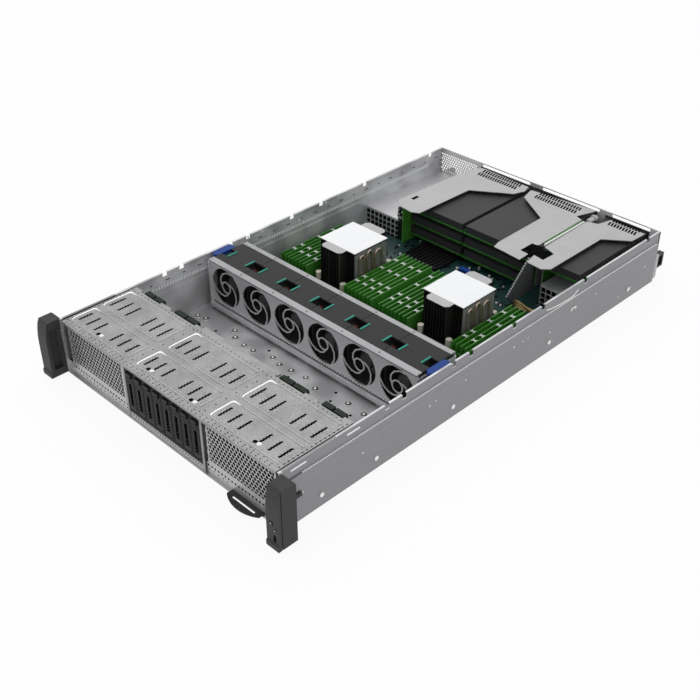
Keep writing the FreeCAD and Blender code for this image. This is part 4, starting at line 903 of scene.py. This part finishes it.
def trimBrace():
    x, t = brace["x"], brace["thickness"]
    plate = Shape().prism(list(brace["outline"]), "x", x, x + t)
    addPiece("riser_brace", plate.mesh("brace", bevel=0.3), "fold")
    (y0, z0), (y1, z1) = brace["outline"][:2]
    count = brace["dots"]
    dots = [((x - 0.3, y0 + (y1 - y0) * k / (count - 1), z0 + (z1 - z0) * k / (count - 1)), (0, 0, 0), 1.0)
            for k in range(count)]
    tile = Shape().box(-0.2, 2.4, -0.9, 0.9, -0.9, 0.9)
    addPiece("riser_brace_edge", spots("brace_edge", tile, "bright", dots), "bright")


trimBrace()


# upright connector beside the left riser board, crowded with small plugs
crowd = {"core": (-145.0, -131.0, 582.0, 600.0, 10.2, 66.0), "seed": 5, "count": 46}


def trimCrowd():
    x0, x1, y0, y1, z0, z1 = crowd["core"]
    core = Shape().box(x0, x1, y0, y1, z0, z1).box(x0 + 3, x1 - 3, y0 - 3, y0, z0, z1 - 22)
    addPiece("riser_connector", core.mesh("connector", bevel=0.6), "black")
    chance = random.Random(crowd["seed"])
    groups = {"pale": [], "rim": [], "bay": []}
    for k in range(crowd["count"]):
        key = chance.choice(("pale", "rim", "bay", "bay"))
        place = (chance.uniform(x0 + 1, x1 - 1), y0, chance.uniform(z0 + 3, z1 - 2))
        if k % 3 == 0:
            place = (x1, chance.uniform(y0 + 1, y1 - 1), place[2])
        groups[key].append((place, (0, 0, 0), (chance.uniform(0.5, 1.1), 1.0, chance.uniform(0.5, 1.4))))
    plug = Shape().box(-1.4, 1.4, -1.6, 1.2, -1.2, 1.2)
    for key, places in groups.items():
        addPiece("riser_plugs_" + key, spots("plugs", plug, key, places, bevel=0.2), key)


trimCrowd()
print("risers")


# rear wall: long slots under its top edge and an open perforated field on the left
rear = {"inner": 770.8, "slots": ((-125.0, -25.0), (0.0, 110.0), (133.0, 201.0)), "slotLow": 80.6, "slotHigh": 85.6,
        "field": (-214.0, -132.0, 44.0, 79.0), "cell": 5.0, "hole": 2.1}


def trimRearWall():
    y = rear["inner"]
    slots = Shape()
    for x0, x1 in rear["slots"]:
        slots.prism(rounded(x0, x1, rear["slotLow"], rear["slotHigh"], 2.0), "y", y - 1, y + 3)
    x0, x1, z0, z1 = rear["field"]
    pitch, radius = rear["cell"], rear["hole"]
    hole = Shape().prism([(radius * math.sin(k * math.pi / 3), radius * math.cos(k * math.pi / 3)) for k in range(6)],
                         "y", -1, 3)
    holes = grid("holes", hole, "tray", int((x1 - x0) / pitch), int((z1 - z0) / (pitch * 0.866)), pitch,
                 pitch * 0.866, (x0 + pitch / 2, y, z0 + pitch / 2), stagger=-0.5)
    wall = openedCopy("rear_panel", joined("openings", [slots.mesh("slots"), holes]))
    addPiece("rear_wall", wall, "tray", replaces=("rear_panel",))


trimRearWall()


# supply bays: square-holed grille on each front
bayGrille = {"front": 583.0, "inner": 141.0, "outer": 216.5, "low": 3.0, "high": 41.5, "columns": 8, "rows": 4, "bar": 2.0,
             "depth": 0.8}


def trimSupplyBays():
    g = bayGrille
    for side, sign in zip(sides, (-1, 1)):
        x0, x1 = sorted((sign * g["inner"], sign * g["outer"]))
        y = g["front"]
        dark = Shape().box(x0, x1, y - 0.2, y, g["low"], g["high"])
        addPiece("bay_dark_" + side, dark.mesh("dark"), "shadow")
        bars = Shape()
        for k in range(g["columns"] + 1):
            x = x0 + (x1 - x0 - g["bar"]) * k / g["columns"]
            bars.box(x, x + g["bar"], y - g["depth"], y - 0.2, g["low"], g["high"])
        for k in range(g["rows"] + 1):
            z = g["low"] + (g["high"] - g["low"] - g["bar"]) * k / g["rows"]
            bars.box(x0, x1, y - g["depth"] + 0.1, y - 0.25, z, z + g["bar"])
        addPiece("bay_grille_" + side, bars.mesh("bars"), "cage")


trimSupplyBays()


# motherboard parts: one dark cooled block, chips, cans and connectors scattered with a fixed seed
board = {"top": 10.2, "seed": 11, "chips": 150, "cans": 46,
         "fields": ((-205.0, 205.0, 325.0, 368.0, 3), (-130.0, 130.0, 516.0, 575.0, 4), (-125.0, 100.0, 576.0, 600.0, 1)),
         "block": (-98.0, -27.0, 541.0, 606.0, 15.5), "plug": (10.0, 29.0, 552.0, 560.0, 30.0),
         "leads": (0.0, 3.4, 7.0, 10.4, 13.6), "leadPlug": (121.0, 137.0, 528.0, 548.0, 22.0)}


def boardSpot(chance):
    weights = [field[4] for field in board["fields"]]
    x0, x1, y0, y1, weight = chance.choices(board["fields"], weights)[0]
    return chance.uniform(x0, x1), chance.uniform(y0, y1)


def trimBoard():
    top = board["top"]
    chance = random.Random(board["seed"])
    chips = []
    for k in range(board["chips"]):
        x, y = boardSpot(chance)
        size = (chance.uniform(0.6, 2.4), chance.uniform(0.6, 1.8), chance.uniform(0.6, 1.6))
        chips.append(((x, y, top), (0, 0, 90 * chance.randint(0, 1)), size))
    addPiece("board_chips", spots("chips", centred(3.0, 3.0, 1.2), "black", chips), "black")
    cans = []
    for k in range(board["cans"]):
        x, y = boardSpot(chance)
        cans.append(((x, y, top), (0, 0, 0), chance.uniform(0.7, 1.3)))
    addPiece("board_cans", spots("cans", disc(2.0, 4.0, 12), "bright", cans, bevel=0.3), "bright")
    x0, x1, y0, y1, high = board["block"]
    block = Shape().prism(rounded(x0, x1, y0, y1, 7.0), "z", top, high)
    for k in range(9):
        x = x0 + 6 + k * (x1 - x0 - 12) / 8
        block.box(x - 1.2, x + 1.2, y0 + 6, y1 - 6, high, high + 2.5)
    addPiece("board_cooled_block", block.mesh("block", bevel=0.4), "bay")
    x0, x1, y0, y1, high = board["plug"]
    plug = Shape().prism(rounded(x0, x1, y0, y1, 2.0), "z", top, high)
    addPiece("board_plug", plug.mesh("plug", bevel=0.6), "blue")
    x0, x1, y0, y1, high = board["leadPlug"]
    addPiece("board_lead_plug", Shape().box(x0, x1, y0, y1, top, high).mesh("lead_plug", bevel=0.8), "bay")
    runs = [[(x0 + 3 + d, y1 - 6 - d, high - 2), (x0 + 5 + d, y1 - 8 - d, high + 7), (142 + d, 534 - d / 2, 34 - d / 2),
             (160 + d / 2, 528 + d, 33 - d / 3), (178, 530 + d, 27 - d / 2), (190, 538 + d, top + 4)]
            for d in board["leads"]]
    addPiece("board_leads", tube("leads", "tan", 1.05, runs), "tan")


trimBoard()
print("board")


# tray walls: ticks along the left wall, dark slots on the upper skirts, and screws outside
walls = {"tickX": -217.75, "tickLow": 62.0, "tickHigh": 67.5, "tickFirst": 150.0, "tickLast": 742.0, "tickPitch": 5.0,
         "outer": 218.25, "marks": ((32.0, 40.0, 1.6), (129.0, 39.5, 1.6), (248.0, 44.0, 1.8), (259.0, 46.0, 1.4), (317.0, 48.0, 1.5),
                   (417.0, 50.0, 1.8), (436.0, 50.0, 1.3), (448.0, 50.0, 1.3), (500.0, 34.0, 1.6), (607.0, 50.0, 1.5),
                   (673.0, 15.5, 1.5), (707.0, 18.0, 1.5), (740.0, 40.0, 1.6)),
         "ledgeHighlightFirst": 34.0, "ledgeHighlightLast": 768.0, "ledgeHighlightPitch": 3.3, "glintX": -216.2,
         "glints": ((430.6, 72.6), (518.6, 82.0), (489.6, 82.2), (354.6, 82.0), (327.0, 82.5)),
         "fold": ((486.0, 76.0), (508.0, 72.0), (536.0, 71.0), (549.0, 70.6), (560.0, 77.0)),
         "hook": (553.0, 50.0), "highlight_bands": ((16.0, 40.0), (104.0, 125.0))}


def trimWalls():
    count = int((walls["tickLast"] - walls["tickFirst"]) / walls["tickPitch"])
    tick = Shape().box(0, 1.3, -1.3, 1.3, 0, walls["tickHigh"] - walls["tickLow"])
    places = [((walls["tickX"], walls["tickFirst"] + k * walls["tickPitch"], walls["tickLow"]), (0, 0, 0), 1.0)
              for k in range(count)]
    addPiece("wall_ticks", spots("ticks", tick, "white", places), "white")
    dark = []
    for k, y in enumerate(range(22, 760, 29)):
        dark.append(((-217.4, y, 76.5), (0, 0, 0), (1.0, 1.0 + 0.8 * (k % 3), 1.0)))
        dark.append(((-216.2, y + 9, 73.5), (0, 0, 0), (1.0, 0.8 + 0.7 * (k % 2), 1.0)))
    slit = Shape().box(-0.12, 0.12, -2.6, 2.6, -0.7, 0.7)
    addPiece("wall_slits", spots("wall_slits", slit, "shadow", dark), "shadow")
    marks = []
    for y, z, radius in walls["marks"]:
        marks.append(((walls["outer"], y, z), (0, 90, 0), radius))
        marks.append(((-walls["outer"], y, z), (0, -90, 0), radius))
    addPiece("wall_screws", spots("wall_screws", screwHead(), "cage", marks), "cage")
    y, z = walls["hook"]
    x = walls["outer"]
    hook = Shape().box(x - 0.1, x + 0.8, y - 6, y + 6, z, z + 2).box(x - 0.1, x + 0.8, y - 6, y - 4, z - 3, z)
    hook.box(x - 0.1, x + 0.8, y + 4, y + 6, z - 3, z).mirrored()
    addPiece("wall_hooks", hook.mesh("hooks"), "bright")
    # two short white bands high on each wall: painted highlight
    highlight_bands = Shape()
    for y0, y1 in walls["highlight_bands"]:
        highlight_bands.box(217.35, 217.8, y0, y1, 79.0, 81.6)
    # white boxes on each wall's ledge: painted highlight on its upward face
    ledge = int((walls["ledgeHighlightLast"] - walls["ledgeHighlightFirst"]) / walls["ledgeHighlightPitch"])
    ledgeHighlight = Shape().box(217.3, 219.3, -1.0, 1.0, 68.8, 69.8).mirrored()
    ledgeHighlights = [((0, walls["ledgeHighlightFirst"] + k * walls["ledgeHighlightPitch"], 0), (0, 0, 0), 1.0) for k in range(ledge)]
    addPiece("wall_beads", spots("wall_beads", ledgeHighlight, "white", ledgeHighlights), "white")
    glints = [((walls["glintX"], y, z), (0, 90, 0), 1.0) for y, z in walls["glints"]]
    addPiece("wall_glints", spots("wall_glints", disc(1.9, 0.12), "white", glints), "white")
    fold = tube("wall_fold", "bright", 0.9, [[(217.5, y, z) for y, z in walls["fold"]]])
    addPiece("wall_fold", fold, "bright")
    addPiece("wall_lugs", highlight_bands.mirrored().mesh("highlight_bands", bevel=0.15), "white")


trimWalls()
print("walls")


# fan cage: dotted line under the fan openings, a dark strip of painted shadow below it under the front ledge, seam
# screws on the strips
cage = {"front": 242.0, "dotZ": 18.2, "dotPitch": 5.0, "half": 200.0, "strip": 86.0, "screwRows": (244.5, 309.0),
        "fanPitch": 67.4}


def trimCage():
    count = int(2 * cage["half"] / cage["dotPitch"])
    dot = Shape().rod("y", 0, 0, 0.9, -0.12, 0.1, 8)
    places = [((-cage["half"] + (k + 0.5) * cage["dotPitch"], cage["front"], cage["dotZ"]), (0, 0, 0), 1.0)
              for k in range(count)]
    addPiece("cage_dots", spots("dots", dot, "shadow", places), "shadow")
    # the dark strip is painted shadow under the cage's front ledge
    ledge_shadow = Shape().box(-cage["half"], cage["half"], cage["front"] - 0.15, cage["front"] + 0.05, 15.2, 16.6)
    addPiece("cage_gap", ledge_shadow.mesh("ledge_shadow"), "shadow")
    screws = [(((n - 3) * cage["fanPitch"], y, cage["strip"]), (0, 0, 25 * n), 1.5)
              for n in range(7) for y in cage["screwRows"]]
    addPiece("cage_screws", spots("cage_screws", screwHead(), "fold", screws), "fold")


trimCage()


# finger recesses between fans: a dark well with the end of a red lead of two strands
well = {"pitch": 67.4, "y": 273.0, "low": 70.0, "radius": 1.1}


def trimWells():
    for n in fans:
        x = (n - 3.5) * well["pitch"] + 27.0
        runs = [[(x + dx, well["y"] - 7, well["low"]), (x + dx + 1, well["y"] - 2, well["low"] + 9 - dx),
                 (x + dx + 2, well["y"] + 4, well["low"] + 8), (x + dx + 2, well["y"] + 7, well["low"] - 1)]
                for dx in (0.0, 2.4)]
        addPiece("fan_lead_%d" % n, tube("fan_lead", "lead", well["radius"], runs), "lead", "fan_%d" % n)


trimWells()
print("fan cage")


# supply rears: ringed fan guard over its dark recess and a three-pin inlet
supply = {"rear": 785.0, "fanX": 188.6, "fanZ": 21.5, "radius": 15.8, "rings": (4.0, 8.0, 12.0, 15.2), "wire": 0.55,
          "inlet": (147.4, 173.8, 11.8, 31.2, 772.0), "pins": ((-5.0, -2.5), (5.0, -2.5), (0.0, 3.5))}


def annulus(shape, x, z, radius, width, y0, y1, sides=28):
    points = []
    for y in (y0, y1):
        for r in (radius - width, radius + width):
            points += [(x + r * math.cos(2 * math.pi * k / sides), y, z + r * math.sin(2 * math.pi * k / sides))
                       for k in range(sides)]
    faces = []
    for k in range(sides):
        n = (k + 1) % sides
        for a, b in ((0, 1), (1, 3), (3, 2), (2, 0)):
            faces.append([a * sides + k, a * sides + n, b * sides + n, b * sides + k])
    return shape.add(points, faces)


def trimSupplies():
    x, z, y = supply["fanX"], supply["fanZ"], supply["rear"]
    for side, sign in zip(sides, (-1, 1)):
        dark = Shape().rod("y", sign * x, z, supply["radius"], y - 2.0, y - 1.8, 28)
        x0, x1, z0, z1, depth = supply["inlet"]
        a, b = sorted((sign * x0, sign * x1))
        dark.box(a, b, depth, depth + 0.4, z0, z1)
        dark.box(a, a + 1.6, depth, y - 0.3, z0, z1).box(b - 1.6, b, depth, y - 0.3, z0, z1)
        addPiece("supply_dark_" + side, dark.mesh("dark"), "black", "supply_" + side)
        guard = Shape()
        for radius in supply["rings"]:
            annulus(guard, sign * x, z, radius, supply["wire"], y - 0.9, y - 0.1)
        for turn in (45, 135):
            s, c = math.sin(math.radians(turn)) * supply["radius"], math.cos(math.radians(turn)) * supply["radius"]
            w = supply["wire"] * 0.7
            guard.prism([(sign * x - c - w, z - s + w), (sign * x - c + w, z - s - w), (sign * x + c + w, z + s - w),
                         (sign * x + c - w, z + s + w)], "y", y - 1.3, y - 0.8)
        guard.rod("y", sign * x, z, 2.6, y - 1.2, y - 0.1, 16)
        middle = sign * (x0 + x1) / 2
        for dx, dz in supply["pins"]:
            guard.box(middle + dx - 1.0, middle + dx + 1.0, depth, depth + 8.0, z + dz - 2.2, z + dz + 2.2)
        addPiece("supply_guard_" + side, guard.mesh("guard"), "bright", "supply_" + side)


trimSupplies()


# card brackets in the rear windows: bright plates with a row of dark vents
bracket = {"front": 770.85, "thickness": 0.7, "spans": ((-124.0, -20.5, 3), (-12.5, 103.0, 3), (125.0, 197.0, 1)),
           "top": 78.0, "height": 13.0, "level": 21.0, "ventPitch": 6.4}


def trimBrackets():
    plates = Shape()
    vents = []
    y = bracket["front"] + bracket["thickness"]
    for x0, x1, levels in bracket["spans"]:
        for level in range(levels):
            z1 = bracket["top"] - level * bracket["level"]
            z0 = z1 - bracket["height"]
            plates.box(x0 + 1, x1 - 1, bracket["front"], y, z0 + 0.6, z1 - 0.6)
            count = int((x1 - x0 - 26) / bracket["ventPitch"])
            vents += [((x0 + 14 + k * bracket["ventPitch"], y, (z0 + z1) / 2), (0, 0, 0), 1.0) for k in range(count)]
    addPiece("card_brackets", plates.mesh("brackets", bevel=0.15), "bright")
    vent = Shape().box(-2.1, 2.1, -0.1, 0.08, -3.4, 3.4)
    addPiece("card_vents", spots("vents", vent, "shadow", vents), "shadow")


trimBrackets()
print("rear")


# camera at the photograph's angle
view = {"azimuth": 44.92, "elevation": 34.865, "distance": 1.52399, "lens": 54.53,
        "aim": (0.0, -0.0025, 0.0435), "slideX": 0.04102, "slideY": 0.07378}


def placeCamera():
    az = math.radians(view["azimuth"])
    el = math.radians(view["elevation"])
    back = Vector((math.sin(az) * math.cos(el), -math.cos(az) * math.cos(el), math.sin(el)))
    right = Vector((math.cos(az), math.sin(az), 0))
    up = back.cross(right)
    place = Vector(view["aim"]) - right * view["slideX"] - up * view["slideY"] + back * view["distance"]
    data = bpy.data.cameras.new("camera")
    data.lens = view["lens"]
    data.sensor_width = 36
    data.clip_end = 50
    camera = bpy.data.objects.new("camera", data)
    camera.matrix_world = Matrix((
        (right.x, up.x, back.x, place.x), (right.y, up.y, back.y, place.y),
        (right.z, up.z, back.z, place.z), (0, 0, 0, 1)))
    bpy.context.scene.collection.objects.link(camera)
    bpy.context.scene.camera = camera


light = {"world": 0.8, "overhead": 19.0, "overheadSize": 2.4, "side": 5.5, "sideSize": 1.6, "floorWhite": 0.9}


def whiteForCamera(tree, lit, share):
    # the camera and clear reflections see that share of plain white, light and shadow stay as they are
    path = tree.nodes.new("ShaderNodeLightPath")
    seen = path.outputs["Is Camera Ray"]
    for kind in ("Is Glossy Ray", "Is Transmission Ray"):
        either = tree.nodes.new("ShaderNodeMath")
        either.operation = "MAXIMUM"
        tree.links.new(seen, either.inputs[0])
        tree.links.new(path.outputs[kind], either.inputs[1])
        seen = either.outputs[0]
    part = tree.nodes.new("ShaderNodeMath")
    part.operation = "MULTIPLY"
    part.inputs[1].default_value = share
    tree.links.new(seen, part.inputs[0])
    white = tree.nodes.new("ShaderNodeBackground" if share == 1 else "ShaderNodeEmission")
    white.inputs[0].default_value = (1, 1, 1, 1)
    mixer = tree.nodes.new("ShaderNodeMixShader")
    tree.links.new(part.outputs[0], mixer.inputs[0])
    tree.links.new(lit, mixer.inputs[1])
    tree.links.new(white.outputs[0], mixer.inputs[2])
    return mixer.outputs[0]


def lightScene():
    world = bpy.data.worlds.new("world")
    bpy.context.scene.world = world
    world.use_nodes = True
    tree = world.node_tree
    soft = tree.nodes["Background"]
    soft.inputs[0].default_value = (0.93, 0.94, 0.96, 1)
    soft.inputs[1].default_value = light["world"]
    tree.links.new(whiteForCamera(tree, soft.outputs[0], 1), tree.nodes["World Output"].inputs[0])
    for name, place in (("overhead", (-0.9, 0.3, 2.4)), ("side", (1.9, -1.9, 1.0))):
        data = bpy.data.lights.new(name, "AREA")
        data.energy = light[name]
        data.size = light[name + "Size"]
        lamp = bpy.data.objects.new(name, data)
        lamp.location = place
        lamp.rotation_euler = (-Vector(place)).to_track_quat("-Z", "Y").to_euler()
        bpy.context.scene.collection.objects.link(lamp)


def layFloor():
    size = 6.0
    plane = bpy.data.meshes.new("floor")
    plane.from_pydata([(-size, -size, 0), (size, -size, 0), (size, size, 0), (-size, size, 0)], [], [(0, 1, 2, 3)])
    floor = bpy.data.objects.new("floor", plane)
    floor.location.z = -0.0005
    bpy.context.scene.collection.objects.link(floor)
    shade = Shade("floor_pale")
    cloud = shade.noise(3.0)
    colour = shade.mix(cloud, (0.94, 0.94, 0.94, 1), (0.96, 0.96, 0.96, 1))
    plane.materials.append(shade.feed(colour=colour, roughness=0.9, specular=0.0))
    end = shade.tree.nodes["Material Output"].inputs[0]
    shade.tree.links.new(whiteForCamera(shade.tree, shade.surface.outputs[0], light["floorWhite"]), end)


bpy.context.scene.view_settings.view_transform = "Standard"
placeCamera()
lightScene()
layFloor()
print("camera and light set")
